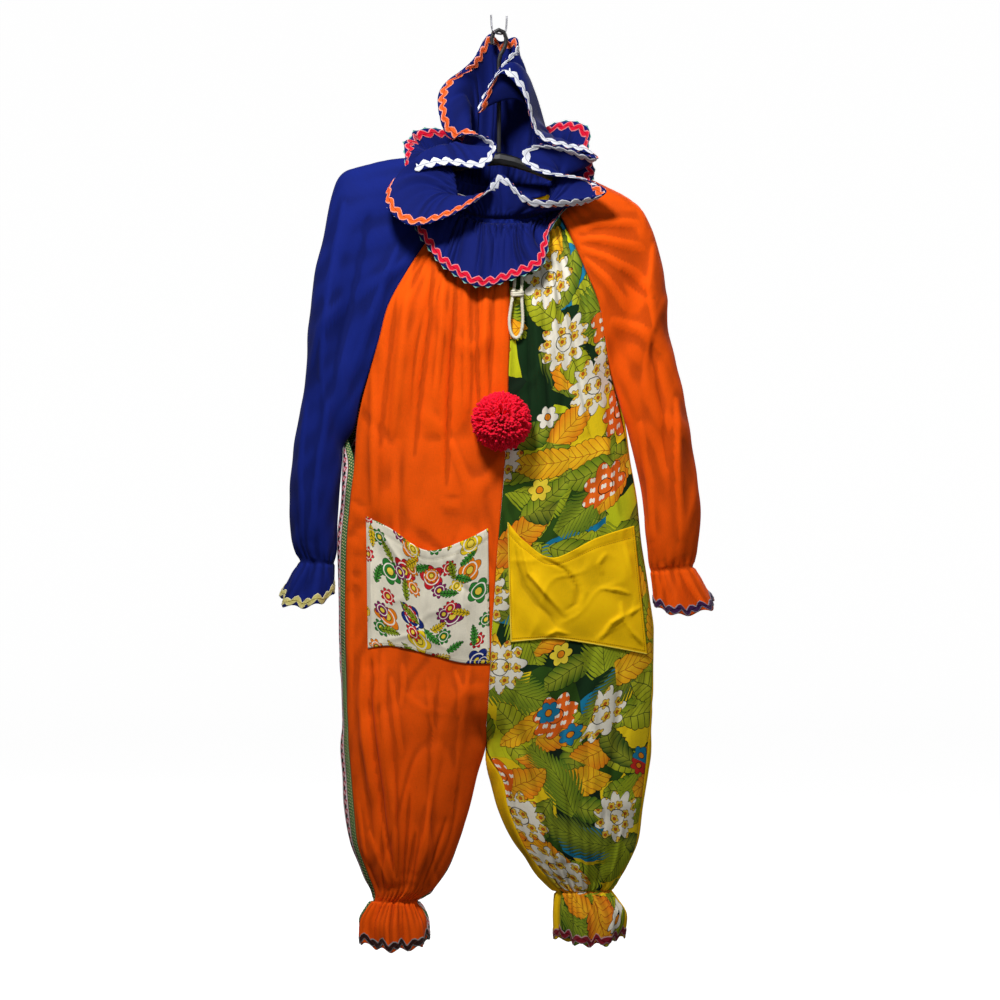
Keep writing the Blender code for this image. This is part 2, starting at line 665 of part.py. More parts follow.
# ---------------------------------------------------------------- neck
def neck_ring(count):
    """The neckline, from the centre front round by the wearer's right."""
    stretches = (
        list(reversed(panel_line("right", "front", 0, 24, 0.0))),
        sleeve_line("right", 0, 24, 0.0),
        panel_line("right", "back", 0, 24, 0.0),
        list(reversed(panel_line("left", "back", 0, 24, 0.0))),
        list(reversed(sleeve_line("left", 0, 24, 0.0))),
        panel_line("left", "front", 0, 24, 0.0),
    )
    fine = []
    for stretch in stretches:
        points = [Vector((point.x, point.y, point.z)) for point in stretch]
        fine.extend(points if not fine else points[1:])
    return spread(fine, count)[:count]


def ring_upward(count, i):
    """Direction and length of the casing above a point of the neck ring."""
    turn = 360.0 * i / count
    rows = [*CASING_RISE, (CASING_RISE[0][0] + 360.0, *CASING_RISE[0][1:])]
    k = max(j for j, row in enumerate(rows) if row[0] <= turn)
    place = k + (turn - rows[k][0]) / (rows[k + 1][0] - rows[k][0])
    return Vector(curve_value(rows, place)[1:])


def ring_outward(ring, i):
    """Direction away from the neck, square to the ring and to the casing."""
    count = len(ring)
    along = ring[(i + 1) % count] - ring[i - 1]
    return ring_upward(count, i).cross(along).normalized()


def casing(material_name):
    """The casing on the neckline."""
    ring = neck_ring(FLOUNCE_COLUMNS)
    rows = [[point + ring_upward(FLOUNCE_COLUMNS, i) * share for i, point in enumerate(ring)]
            for share in (CASING_FOOT, CASING_TOP)]
    return wall("neck_casing", rows, material_name, closed=True)


def ruffle_grid(table, columns, foot, away, start_up, start_out, wave=0.0, waves=0):
    """Rows of a ruffle from the neck to its free edge, closed around the neck.

    It starts at foot of the casing's rise, away from it by a gap, and leaves it by start_up of
    the rise and start_out outwards; its edge swings by wave in a number of waves.
    """
    ring = neck_ring(columns)
    rows = [tuple(line) for line in table]
    before = (rows[-1][0] - 360.0, *rows[-1][1:])
    after = [(360.0 + row[0], *row[1:]) for row in rows[:2]]
    extended = [before] + rows + after
    grid = [[] for _ in (*RUFFLE_BREADTHS, 1.0)]
    for i in range(columns):
        turn = 360.0 * i / columns
        k = 1
        while extended[k + 1][0] <= turn:
            k += 1
        share = (turn - extended[k][0]) / (extended[k + 1][0] - extended[k][0])
        values = curve_value(extended, k + share)
        edge, middle = Vector(values[1:4]), Vector(values[4:7])
        outward, upward = ring_outward(ring, i), ring_upward(columns, i)
        base = ring[i] + outward * away + upward * foot
        first = base + outward * start_out + upward * start_up
        lead = middle * 2 - (first + edge) / 2
        fine = [first * (1 - v) ** 2 + lead * (2 * v * (1 - v)) + edge * v**2
                for v in (step / 40 for step in range(41))]
        across = spread(fine, BREADTH_STEPS, 0.0, BRAID_BREADTH)
        swing = outward * (wave * sin(2 * pi * waves * i / columns))
        for line, v in zip(grid, RUFFLE_BREADTHS):
            point = across[round(v * BREADTH_STEPS)] if v > 0 else base
            line.append(point + swing * (0.8 * v * v))
        grid[-1].append(edge + swing)
    return grid


def braid(name, grid, facing, material_name, closed=True):
    """A braid laid along the free edge of a grid of cloth. facing is its side of the cloth."""
    normals = grid_normals(grid, closed)[-2:]
    inner, edge = grid[-2:]
    lift = facing * (0.5 * CLOTH + LAID_ON + 0.5 * BRAID_THICK)
    band, directions = [[], []], [[], []]
    for j, point in enumerate(edge):
        for line, ways, share in zip(band, directions, (0.96, 0.04)):
            way = normals[1][j].lerp(normals[0][j], share)
            line.append(point.lerp(inner[j], share) + way * lift)
            ways.append(way)
    return wall(name, band, material_name, closed, BRAID_THICK, directions, [inner, edge])


# ---------------------------------------------------------------- pieces on the front
def front_point(side, x, z):
    """The front panel's middle surface at a place, and its outward direction."""
    rows = HALVES[side]
    low, high = 1.0, float(LAST_ROW)
    for _ in range(40):
        middle = (low + high) / 2
        if curve_value(rows, middle)[0] > z:
            low = middle
        else:
            high = middle
    line = panel_line(side, "front", low, 60)
    nearest = min(range(1, 60), key=lambda k: abs(line[k].x - x))
    step = 1 if (line[nearest + 1].x - line[nearest].x) * (x - line[nearest].x) > 0 else -1
    share = (x - line[nearest].x) / (line[nearest + step].x - line[nearest].x)
    point = line[nearest].lerp(line[nearest + step], min(max(share, 0.0), 1.0))
    across = line[nearest + 1] - line[nearest - 1]
    outward = Vector((across.y, -across.x, 0)).normalized()
    if outward.y > 0:
        outward = -outward
    return Vector((x, point.y, z)), outward


def pocket(side, material_name, columns=10, rows=5):
    """A patch pocket, laid on its panel, with a sagging top that stands off."""
    table = POCKET_ROWS[side]
    grid = []
    for i in range(rows + 1):
        v = i / rows
        line = []
        for j in range(columns + 1):
            u = j / columns
            values = curve_value(table, u * (len(table) - 1))
            top_x, top_z, bottom_x, bottom_z, gape = values
            x, z = top_x + (bottom_x - top_x) * v, top_z + (bottom_z - top_z) * v
            point, outward = front_point(side, x, z)
            puff = POCKET_PUFF * sin(pi * v) ** 0.8 * sin(pi * u) ** 0.5
            stand = CLOTH + LAID_ON + POCKET_STAND + gape * (1 - v) ** 3 + puff
            line.append(point + outward * stand)
        grid.append(line)
    return wall(f"pocket_{side}", grid, material_name)


def pompom():
    """A yarn ball: locks that stand out of a round core, flattened where it meets the front."""
    centre, _ = front_point("right", *POMPOM_PLACE)
    middle = centre + Vector((0, -POMPOM_SINK * POMPOM_RADIUS, 0))
    shape = bmesh.new()
    bmesh.ops.create_icosphere(shape, subdivisions=3, radius=POMPOM_CORE * POMPOM_RADIUS)
    chosen, used = [], set()
    for face in list(shape.faces):
        facing = face.calc_center_median().normalized()
        if facing.y < 0.3 and not any(edge in used for edge in face.edges):
            chosen.append(face)
            used.update(face.edges)
    for number, face in enumerate(chosen):
        heading = face.calc_center_median().normalized()
        swirl = Vector((sin(number * 2.4), cos(number * 1.7), sin(number * 3.1)))
        heading = (heading + swirl * LOCK_SWIRL).normalized()
        extruded = bmesh.ops.extrude_discrete_faces(shape, faces=[face])["faces"][0]
        tip = heading * (POMPOM_RADIUS - LOCK_UNEVEN * (1 + sin(number * 1.3)))
        centre_now = extruded.calc_center_median()
        for vert in extruded.verts:
            vert.co = tip + (vert.co - centre_now) * LOCK_TIP
    room = POMPOM_SINK * POMPOM_RADIUS - 0.5 * CLOTH - LAID_ON
    for vert in shape.verts:
        vert.co.y = min(vert.co.y, room)
        vert.co = (vert.co + middle) * MM
    mesh = bpy.data.meshes.new("pompom")
    bmesh.ops.triangulate(shape, faces=shape.faces)
    bmesh.ops.recalc_face_normals(shape, faces=shape.faces)
    shape.to_mesh(mesh)
    shape.free()
    return add_object("pompom", mesh, "red_yarn")


def drawstring():
    """The loop of cord that hangs out of the casing at the centre front."""
    route = [Vector(point) for point in DRAWSTRING_ROUTE]
    shape = bpy.data.curves.new("drawstring", "CURVE")
    shape.dimensions = "3D"
    shape.bevel_depth = 0.5 * CORD_DIAMETER * MM
    shape.bevel_resolution = 2
    shape.use_fill_caps = True
    line = shape.splines.new("POLY")
    points = smooth_route(route, CORD_STEPS)
    line.points.add(len(points) - 1)
    for knot, point in zip(line.points, points):
        knot.co = (*(point * MM), 1.0)
    item = bpy.data.objects.new("drawstring", shape)
    shape.materials.append(material("cream_cord"))
    bpy.context.scene.collection.objects.link(item)
    return item


# ---------------------------------------------------------------- the hanger
def hanger():
    """The plastic hanger, its hook, and the wire that it hangs in."""
    steps = 20
    arms = smooth_route([Vector(row[:3]) for row in HANGER_ARMS], steps)
    shares = [(row[3],) for row in HANGER_ARMS]
    sizes = [curve_value(shares, (len(shares) - 1) * i / steps)[0] for i in range(steps + 1)]
    tube("hanger_body", arms, ARM_RADIUS, "black_plastic", flat=ARM_FLAT, scale=sizes)
    hook = smooth_route([Vector(row) for row in HOOK_ROUTE], 24)
    tube("hanger_hook", hook, HOOK_RADIUS, "black_plastic")
    wire = smooth_route([Vector(row) for row in WIRE_ROUTE], 16)
    tube("hanging_wire", wire, WIRE_RADIUS, "grey_wire", sides=6)


# ---------------------------------------------------------------- build
def main():
    """Builds every piece."""
    for item in list(bpy.data.objects):
        bpy.data.objects.remove(item, do_unlink=True)
    front_right = panel("right", "front", "orange_cotton")
    front_left = panel("left", "front", "print_cotton")
    back_right = panel("right", "back", "calico")
    back_left = panel("left", "back", "yellow_cotton")
    braid("rickrack_wrist_right", sleeve("right", "blue_cotton"), -1, "cream_braid", closed=False)
    braid("rickrack_wrist_left", sleeve("left", "orange_cotton"), -1, "purple_braid", closed=False)
    braid("rickrack_ankle_right", [a + b for a, b in zip(front_right, back_right)], -1,
          "brown_braid")
    braid("rickrack_ankle_left", [a + b for a, b in zip(front_left, back_left)], -1, "wine_braid")
    casing("blue_cotton")
    upper = ruffle_grid(UPPER_RUFFLE, RUFFLE_COLUMNS, foot=CASING_TOP + 0.1, away=0.0,
                        start_up=0.4, start_out=7.0)
    wall("ruffle_upper", upper, "blue_cotton", closed=True)
    lower = ruffle_grid(LOWER_RUFFLE, FLOUNCE_COLUMNS, foot=0.6, away=CLOTH + 0.4,
                        start_up=0.0, start_out=8.0, wave=4.0, waves=18)
    wall("ruffle_lower", lower, "blue_cotton", closed=True)
    braid("rickrack_lower", lower, 1, "red_braid")
    pocket("right", "white_cotton")
    pocket("left", "yellow_cotton")
    pompom()
    drawstring()
    hanger()


main()
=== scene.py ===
"""The look of a clown jumpsuit on a hanger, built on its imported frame."""

import json
from collections import defaultdict

import bpy
import numpy as np
from math import cos, exp, floor, pi, radians, sin
from mathutils import Vector
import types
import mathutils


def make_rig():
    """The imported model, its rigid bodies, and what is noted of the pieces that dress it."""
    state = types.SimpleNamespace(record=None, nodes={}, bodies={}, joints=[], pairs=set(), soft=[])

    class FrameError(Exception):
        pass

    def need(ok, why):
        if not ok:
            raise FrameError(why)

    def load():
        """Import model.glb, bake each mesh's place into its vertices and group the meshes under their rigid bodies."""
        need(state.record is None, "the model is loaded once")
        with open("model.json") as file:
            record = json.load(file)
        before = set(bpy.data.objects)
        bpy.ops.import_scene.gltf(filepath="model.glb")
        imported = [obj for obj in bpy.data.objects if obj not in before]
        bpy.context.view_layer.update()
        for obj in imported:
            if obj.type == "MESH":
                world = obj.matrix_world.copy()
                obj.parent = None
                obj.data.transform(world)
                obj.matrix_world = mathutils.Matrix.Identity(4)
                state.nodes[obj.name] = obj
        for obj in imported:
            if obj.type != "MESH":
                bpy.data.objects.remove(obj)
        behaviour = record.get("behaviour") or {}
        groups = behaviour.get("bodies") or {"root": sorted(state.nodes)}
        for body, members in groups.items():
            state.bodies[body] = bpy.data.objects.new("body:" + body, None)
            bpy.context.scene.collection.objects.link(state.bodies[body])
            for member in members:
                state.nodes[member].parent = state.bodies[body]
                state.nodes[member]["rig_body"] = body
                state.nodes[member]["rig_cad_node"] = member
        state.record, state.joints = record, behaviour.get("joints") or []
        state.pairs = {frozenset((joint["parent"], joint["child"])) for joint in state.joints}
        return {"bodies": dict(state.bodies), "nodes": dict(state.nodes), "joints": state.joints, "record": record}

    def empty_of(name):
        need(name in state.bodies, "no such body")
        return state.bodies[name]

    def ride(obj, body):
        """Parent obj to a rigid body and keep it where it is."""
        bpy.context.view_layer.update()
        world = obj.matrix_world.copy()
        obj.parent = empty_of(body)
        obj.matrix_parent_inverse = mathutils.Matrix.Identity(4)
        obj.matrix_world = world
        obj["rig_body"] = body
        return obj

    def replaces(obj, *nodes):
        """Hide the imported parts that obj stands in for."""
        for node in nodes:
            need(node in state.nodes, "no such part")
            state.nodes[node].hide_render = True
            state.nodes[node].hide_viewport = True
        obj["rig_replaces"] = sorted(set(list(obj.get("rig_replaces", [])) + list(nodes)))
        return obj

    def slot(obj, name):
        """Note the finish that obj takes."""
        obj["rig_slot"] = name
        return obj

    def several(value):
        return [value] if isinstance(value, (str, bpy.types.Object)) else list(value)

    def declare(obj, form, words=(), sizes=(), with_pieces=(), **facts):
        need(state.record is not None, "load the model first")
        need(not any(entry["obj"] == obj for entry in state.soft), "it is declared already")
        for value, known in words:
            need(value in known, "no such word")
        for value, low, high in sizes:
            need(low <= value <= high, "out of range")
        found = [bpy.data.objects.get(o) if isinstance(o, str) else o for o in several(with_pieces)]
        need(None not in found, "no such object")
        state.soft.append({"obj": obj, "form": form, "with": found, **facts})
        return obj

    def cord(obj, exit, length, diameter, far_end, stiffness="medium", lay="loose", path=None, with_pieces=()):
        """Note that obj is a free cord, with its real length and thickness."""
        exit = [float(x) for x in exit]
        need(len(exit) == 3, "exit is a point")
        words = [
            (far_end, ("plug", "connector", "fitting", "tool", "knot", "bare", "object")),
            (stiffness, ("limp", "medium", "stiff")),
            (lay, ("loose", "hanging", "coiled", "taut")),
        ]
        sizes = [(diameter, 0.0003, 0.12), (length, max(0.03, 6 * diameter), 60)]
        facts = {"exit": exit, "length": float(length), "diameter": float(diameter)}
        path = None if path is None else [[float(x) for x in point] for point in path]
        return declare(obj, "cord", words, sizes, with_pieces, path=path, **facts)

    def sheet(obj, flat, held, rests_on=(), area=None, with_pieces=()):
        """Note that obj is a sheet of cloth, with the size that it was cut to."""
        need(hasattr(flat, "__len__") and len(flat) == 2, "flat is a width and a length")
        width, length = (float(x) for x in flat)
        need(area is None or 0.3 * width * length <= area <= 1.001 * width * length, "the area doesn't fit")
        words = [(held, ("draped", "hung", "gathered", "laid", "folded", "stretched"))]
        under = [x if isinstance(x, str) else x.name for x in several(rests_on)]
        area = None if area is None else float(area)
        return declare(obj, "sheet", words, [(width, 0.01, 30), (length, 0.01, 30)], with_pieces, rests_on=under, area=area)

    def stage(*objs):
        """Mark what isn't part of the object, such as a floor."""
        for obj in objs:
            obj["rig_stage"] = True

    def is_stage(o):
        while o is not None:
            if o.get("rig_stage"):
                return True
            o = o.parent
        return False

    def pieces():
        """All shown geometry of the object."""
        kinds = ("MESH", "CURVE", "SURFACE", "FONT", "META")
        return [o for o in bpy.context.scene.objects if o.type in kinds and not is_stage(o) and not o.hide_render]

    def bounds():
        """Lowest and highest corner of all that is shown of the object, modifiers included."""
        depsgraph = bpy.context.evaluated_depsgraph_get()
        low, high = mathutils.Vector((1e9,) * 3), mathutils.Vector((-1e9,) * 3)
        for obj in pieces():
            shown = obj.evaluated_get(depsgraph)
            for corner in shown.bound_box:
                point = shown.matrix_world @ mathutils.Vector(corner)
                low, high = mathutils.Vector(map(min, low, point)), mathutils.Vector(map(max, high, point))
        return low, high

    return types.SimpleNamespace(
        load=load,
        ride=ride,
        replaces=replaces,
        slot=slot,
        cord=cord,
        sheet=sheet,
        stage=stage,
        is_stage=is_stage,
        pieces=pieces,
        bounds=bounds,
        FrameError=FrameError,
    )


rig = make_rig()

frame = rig.load()
CAD_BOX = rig.bounds()
# Lengths are in millimetres, except in materials, the camera and the lamps.
MM = 0.001
SEAM_GAP = 0.1           # the scene's cloth meets at its seams, a sleeve with more room
SLEEVE_GAP = 0.3
CENTRE_SEAM = 0.2        # from the folded centre seam to the middle of each cloth
CLOTH = 1.5              # wall of one layer of cotton in the CAD
SHELL = 0.9              # wall of one layer of cotton in the scene
UNDERARM_ROOM = 1.3      # by which each row under the arm sets the sleeve further out
LAID_ON = 1.0            # clearance of a pocket that lies on its panel
RUFFLE_ROOM = 0.4        # clearance of the lower ruffle that starts on the casing
CASING_TOP = 1.0         # share of the casing's rise at which the upper ruffle starts
HEM_RISE = 18.0          # by which an ankle frill's hem curves up to its seams
WRIST_DROP = {"front": 20.0, "back": -6.0}    # by which a wrist frill's hem hangs lower
NECK_GATHERS = (3.0, 1.5, 1.6, 3.5)      # height, row where they are deepest, reach, count
ANKLE_GATHERS = (1.5, 0.8, 3.5)          # height, reach in rows, count
ANKLE_FRILL = (7.0, 2.5)                 # height and count of a frill's waves
WRIST_GATHERS = (1.2, 0.8, 5)
WRIST_FRILL = (7.0, 5)
SEAM_EASE = 6.0          # how fast a panel's folds grow from its seams, and a sleeve's
SLEEVE_EASE = 5.0
CORD_DIAMETER = 6.0
KNOT_LEVEL = -465.0      # z of the drawstring's knot
POMPOM_RADIUS = 50.0
POMPOM_CENTRE = (4.0, -60.08749008178711, -676.0)     # on the front panel
HEM_SHARE = 0.085        # share of a pocket's depth at which its hem is stitched
SIDES = ("right", "left")
AWAY = {"right": -1.0, "left": 1.0}


def rows_of(text):
    """A table of numbers from a text with a row on each line."""
    return [tuple(float(word) for word in line.split()) for line in text.strip().splitlines()]


# Body, neck to crotch, a row for each level: z, then for the right half the x of the side or
# raglan seam and the angles (degrees) around the oval section at which the front and the back
# panel start, then x of the centre seam, then the left half's three, and depth, sweep, rise and
# lift. sweep is the angle of the centre seam (90 is the front of the oval, 180 closes a leg).
# rise lifts the back neck, lift the raglan ends.
BODY_ROWS = rows_of("""
-361 -82 30 -30 15 99 30 -30 42 90 59 33
-384 -117 46 -46 16 120 46 -46 50 90 53 10
-424 -150 52 -52 16 142 52 -52 56 90 43 0
-482 -182 52 -50 18 165 50 -46 60 90 28 0
-540 -198 46 -42 18 175 40 -34 62 90 16 0
-592 -213 38 -28 16 183 24 -16 62 90 10 0
-639 -226 30 -12 15 195 12 0 61 90 3 0
-685 -235 22 4 13 206 8 4 60 90 0 0
-738 -239 20 20 10 216 6 6 60 90 0 0
-804 -246 20 20 5 228 6 6 60 90 0 0
-878 -252 20 20 -2 236 6 6 60 90 0 0
-952 -254 18 18 -7 247 6 6 60 90 0 0
-1026 -254 18 18 -12 254 6 6 60 92 0 0
-1092 -252 18 18 -15 254 8 8 58 100 0 0
-1142 -251 20 20 -18 251 10 10 56 118 0 0
-1178 -249 24 24 -21 249 12 12 54 148 0 0
-1208 -248 28 28 -21 246 16 16 52 174 0 0
""")
# Legs below the crotch: z, outer x, the angle where the outer seam starts, inner x, the angle by
# which the front panel stops short of the leg's inner edge, where the back panel comes round, and
# depth.
LEG_ROWS = {"right": rows_of("""
-1257 -244 30 -35 6 50
-1315 -239 32 -49 6 48
-1373 -233 32 -68 6 45
-1417 -218 30 -87 6 38
-1450 -206 24 -111 6 28
-1468 -206 20 -135 6 21
-1487 -219 20 -127 6 28
-1510 -229 20 -120 6 36
-1546 -226 20 -119 6 40
"""), "left": rows_of("""
-1257 241 14 -18 32 50
-1315 234 14 -4 34 48
-1373 226 16 21 36 44
-1411 210 18 51 36 36
-1437 193 18 79 34 26
-1452 183 18 97 30 21
-1472 195 18 97 26 28
-1497 208 18 96 24 36
-1538 203 18 97 24 40
""")}
CROTCH_ROW = len(BODY_ROWS) - 1
LAST_ROW = CROTCH_ROW + len(LEG_ROWS["right"])
ANKLE_ROW = LAST_ROW - 3

# Sleeves, a row for each section from the neck to the wrist frill: the body row whose raglan seam
# the section starts from, or -1 below the underarm, where the seam is at the next three, x, y and
# z, then outer x, outer z, depth and sweep.
SLEEVE_ROWS = {"right": rows_of("""
0 0 0 0 -97 -243 21 90
1 0 0 0 -144 -238 40 90
2 0 0 0 -183 -241 45 90
3 0 0 0 -223 -251 48 90
4 0 0 0 -257 -264 48 90
5 0 0 0 -277 -302 46 100
6 0 0 0 -289 -361 44 125
7 0 0 0 -304 -421 42 165
-1 -259 -6 -718 -312 -493 42 180
-1 -262 -4 -761 -320 -569 42 180
-1 -266 -2 -804 -328 -647 42 180
-1 -269 0 -840 -337 -724 40 180
-1 -271 0 -870 -345 -800 36 180
-1 -273 0 -893 -342 -863 28 180
-1 -277 0 -909 -330 -904 20 180
-1 -276 0 -927 -345 -929 28 180
-1 -274 0 -955 -365 -965 36 180
"""), "left": rows_of("""
0 0 0 0 107 -262 21 90
1 0 0 0 140 -272 40 90
2 0 0 0 177 -287 45 90
3 0 0 0 213 -305 48 90
4 0 0 0 243 -332 48 90
5 0 0 0 264 -380 46 110
6 0 0 0 276 -444 43 168
-1 213 -4 -688 280 -515 42 180
-1 226 -2 -741 294 -576 42 180
-1 236 0 -787 307 -639 42 180
-1 241 0 -827 318 -708 42 180
-1 244 0 -860 328 -779 40 180
-1 247 0 -886 330 -837 36 180
-1 249 0 -906 325 -886 28 180
-1 252 0 -921 322 -914 20 180
-1 254 0 -940 338 -936 28 180
-1 257 0 -975 360 -970 36 180
""")}
WRIST_ROW = len(SLEEVE_ROWS["right"]) - 3

# The neck casing's rise in x, y and z above the neck seam, at angles around the neck from the
# centre front by way of the wearer's right.
CASING_RISE = rows_of("""
0 0 -2 20
45 9 -6 17
70 14 -8 12
90 13 -8 13
110 6 -2 19
130 12 6 15
150 6 3 19
180 0 0 20
235 -5 3 19
255 -10 6 16
265 -6 0 19
285 -13 -8 13
305 -14 -8 12
325 -8 -6 17
350 -2 -2 20
""")

# Ruffles: where the free edge and the middle of the cloth lie over each angle around the neck, as
# the angle, then x, y and z of each.
UPPER_RUFFLE = rows_of("""
0 3 -64 -269 12 -56 -314
15 -31 -85 -309 -15 -66 -302
30 -84 -100 -342 -56 -64 -304
44 -144 -104 -356 -98 -66 -302
58 -184 -88 -322 -132 -60 -286
70 -172 -56 -282 -132 -46 -250
84 -97 -50 -254 -108 -32 -222
98 -28 -56 -258 -68 -34 -216
108 0 -60 -231 -48 -26 -219
118 -21 -46 -200 -48 -12 -219
132 -78 -36 -206 -45 -4 -165
144 -101 -22 -170 -51 10 -139
156 -81 0 -101 -41 22 -122
168 -41 8 -63 -25 28 -118
177 -16 9 -30 -8 32 -118
184 2 24 -40 3 35 -120
191 26 16 -34 17 34 -122
197 30 -8 -50 34 24 -112
203 6 -26 -82 46 14 -104
216 -28 -34 -138 53 8 -130
224 -36 -47 -168 45 -8 -150
232 -14 -58 -122 31 -28 -116
241 8 -60 -104 45 -24 -104
252 41 -56 -140 59 -16 -127
262 62 -48 -204 76 -8 -190
270 104 -32 -221 108 -2 -210
276 148 -16 -230 132 -8 -222
281 164 -34 -240 144 -18 -238
286 152 -54 -240 140 -32 -256
292 104 -60 -224 116 -38 -252
298 54 -60 -221 98 -40 -248
304 35 -62 -243 92 -46 -256
312 69 -64 -268 104 -52 -272
323 147 -60 -280 140 -56 -290
330 175 -76 -300 147 -66 -312
340 117 -90 -312 111 -76 -322
350 48 -86 -309 51 -74 -326
""")
LOWER_RUFFLE = rows_of("""
0 7 -86 -447 9 -68 -395
20 -35 -84 -454 -22 -68 -395
38 -78 -78 -431 -60 -60 -375
55 -114 -68 -394 -90 -50 -345
72 -142 -56 -340 -117 -34 -300
88 -154 -33 -266 -130 -20 -240
100 -157 -2 -218 -130 0 -223
112 -149 20 -202 -124 18 -219
125 -138 36 -188 -112 36 -228
145 -97 54 -183 -78 52 -232
180 2 64 -203 4 58 -245
205 68 58 -183 52 54 -235
225 111 48 -170 86 46 -235
240 147 34 -182 116 34 -235
254 150 16 -217 128 14 -240
264 156 -4 -264 132 -4 -254
276 134 -34 -294 124 -22 -276
292 106 -50 -328 110 -36 -308
308 86 -62 -354 90 -48 -340
325 79 -73 -390 66 -58 -370
342 68 -84 -421 48 -66 -385
""")
# How far the upper ruffle's hem rolls inwards, in degrees, at turns around the neck.
HEM_CURL = ((0, 0), (99, 0), (106, -35), (126, -40), (134, 0), (140, 45), (156, 60), (166, 20),
            (172, 0), (360, 0))

# Patch pockets, a row for each place along the opening: x and z of the top, x and z of the
# bottom, and how far the opening stands off the panel.
POCKET_ROWS = {"right": rows_of("""
-219 -830 -216 -1048 1
-177 -851 -177 -1044 8
-119 -886 -119 -1056 14
-61 -871 -61 -1071 8
-18 -850 -15 -1072 1
"""), "left": rows_of("""
15 -840 20 -1036 1
41 -870 51 -1033 6
89 -898 94 -1031 12
160 -866 177 -1044 8
223 -846 245 -1058 1
""")}

# Large folds of the body panels: x and z of two ends, half width, and height off the panel.
FRONT_FOLDS = rows_of("""
-208 -600 -202 -830 16 9
-150 -420 -165 -700 18 5
-90 -430 -110 -760 22 5
-30 -470 -45 -700 20 4
-206 -1080 -168 -1440 20 12
-120 -1120 -140 -1420 26 7
-60 -1090 -95 -1330 20 6
70 -430 80 -740 18 5
120 -440 140 -700 18 6
150 -560 205 -860 16 7
60 -1080 110 -1400 24 9
170 -1080 165 -1400 22 8
110 -1100 60 -1300 18 -5
""")
BACK_FOLDS = rows_of("""
-150 -420 -150 -800 22 7
-60 -400 -70 -760 22 6
60 -400 70 -760 22 6
140 -430 160 -820 22 7
-190 -1000 -165 -1400 22 10
-90 -1150 -130 -1400 22 7
190 -1000 165 -1390 22 9
80 -1150 110 -1380 22 7
""")

# Route of the cord: out of the casing, down behind the lower ruffle, a loop, and back up.
DRAWSTRING_ROUTE = rows_of("""
24 -51 -372
25 -58 -388
26 -62 -408
26 -65 -440
24 -68 -462
20 -69 -485
17 -69 -510
20 -69 -530
28 -69 -538
36 -69 -530
39 -69 -510
38 -69 -485
37 -68 -462
38 -65 -440
38 -62 -408
36 -58 -388
34 -51 -372
""")

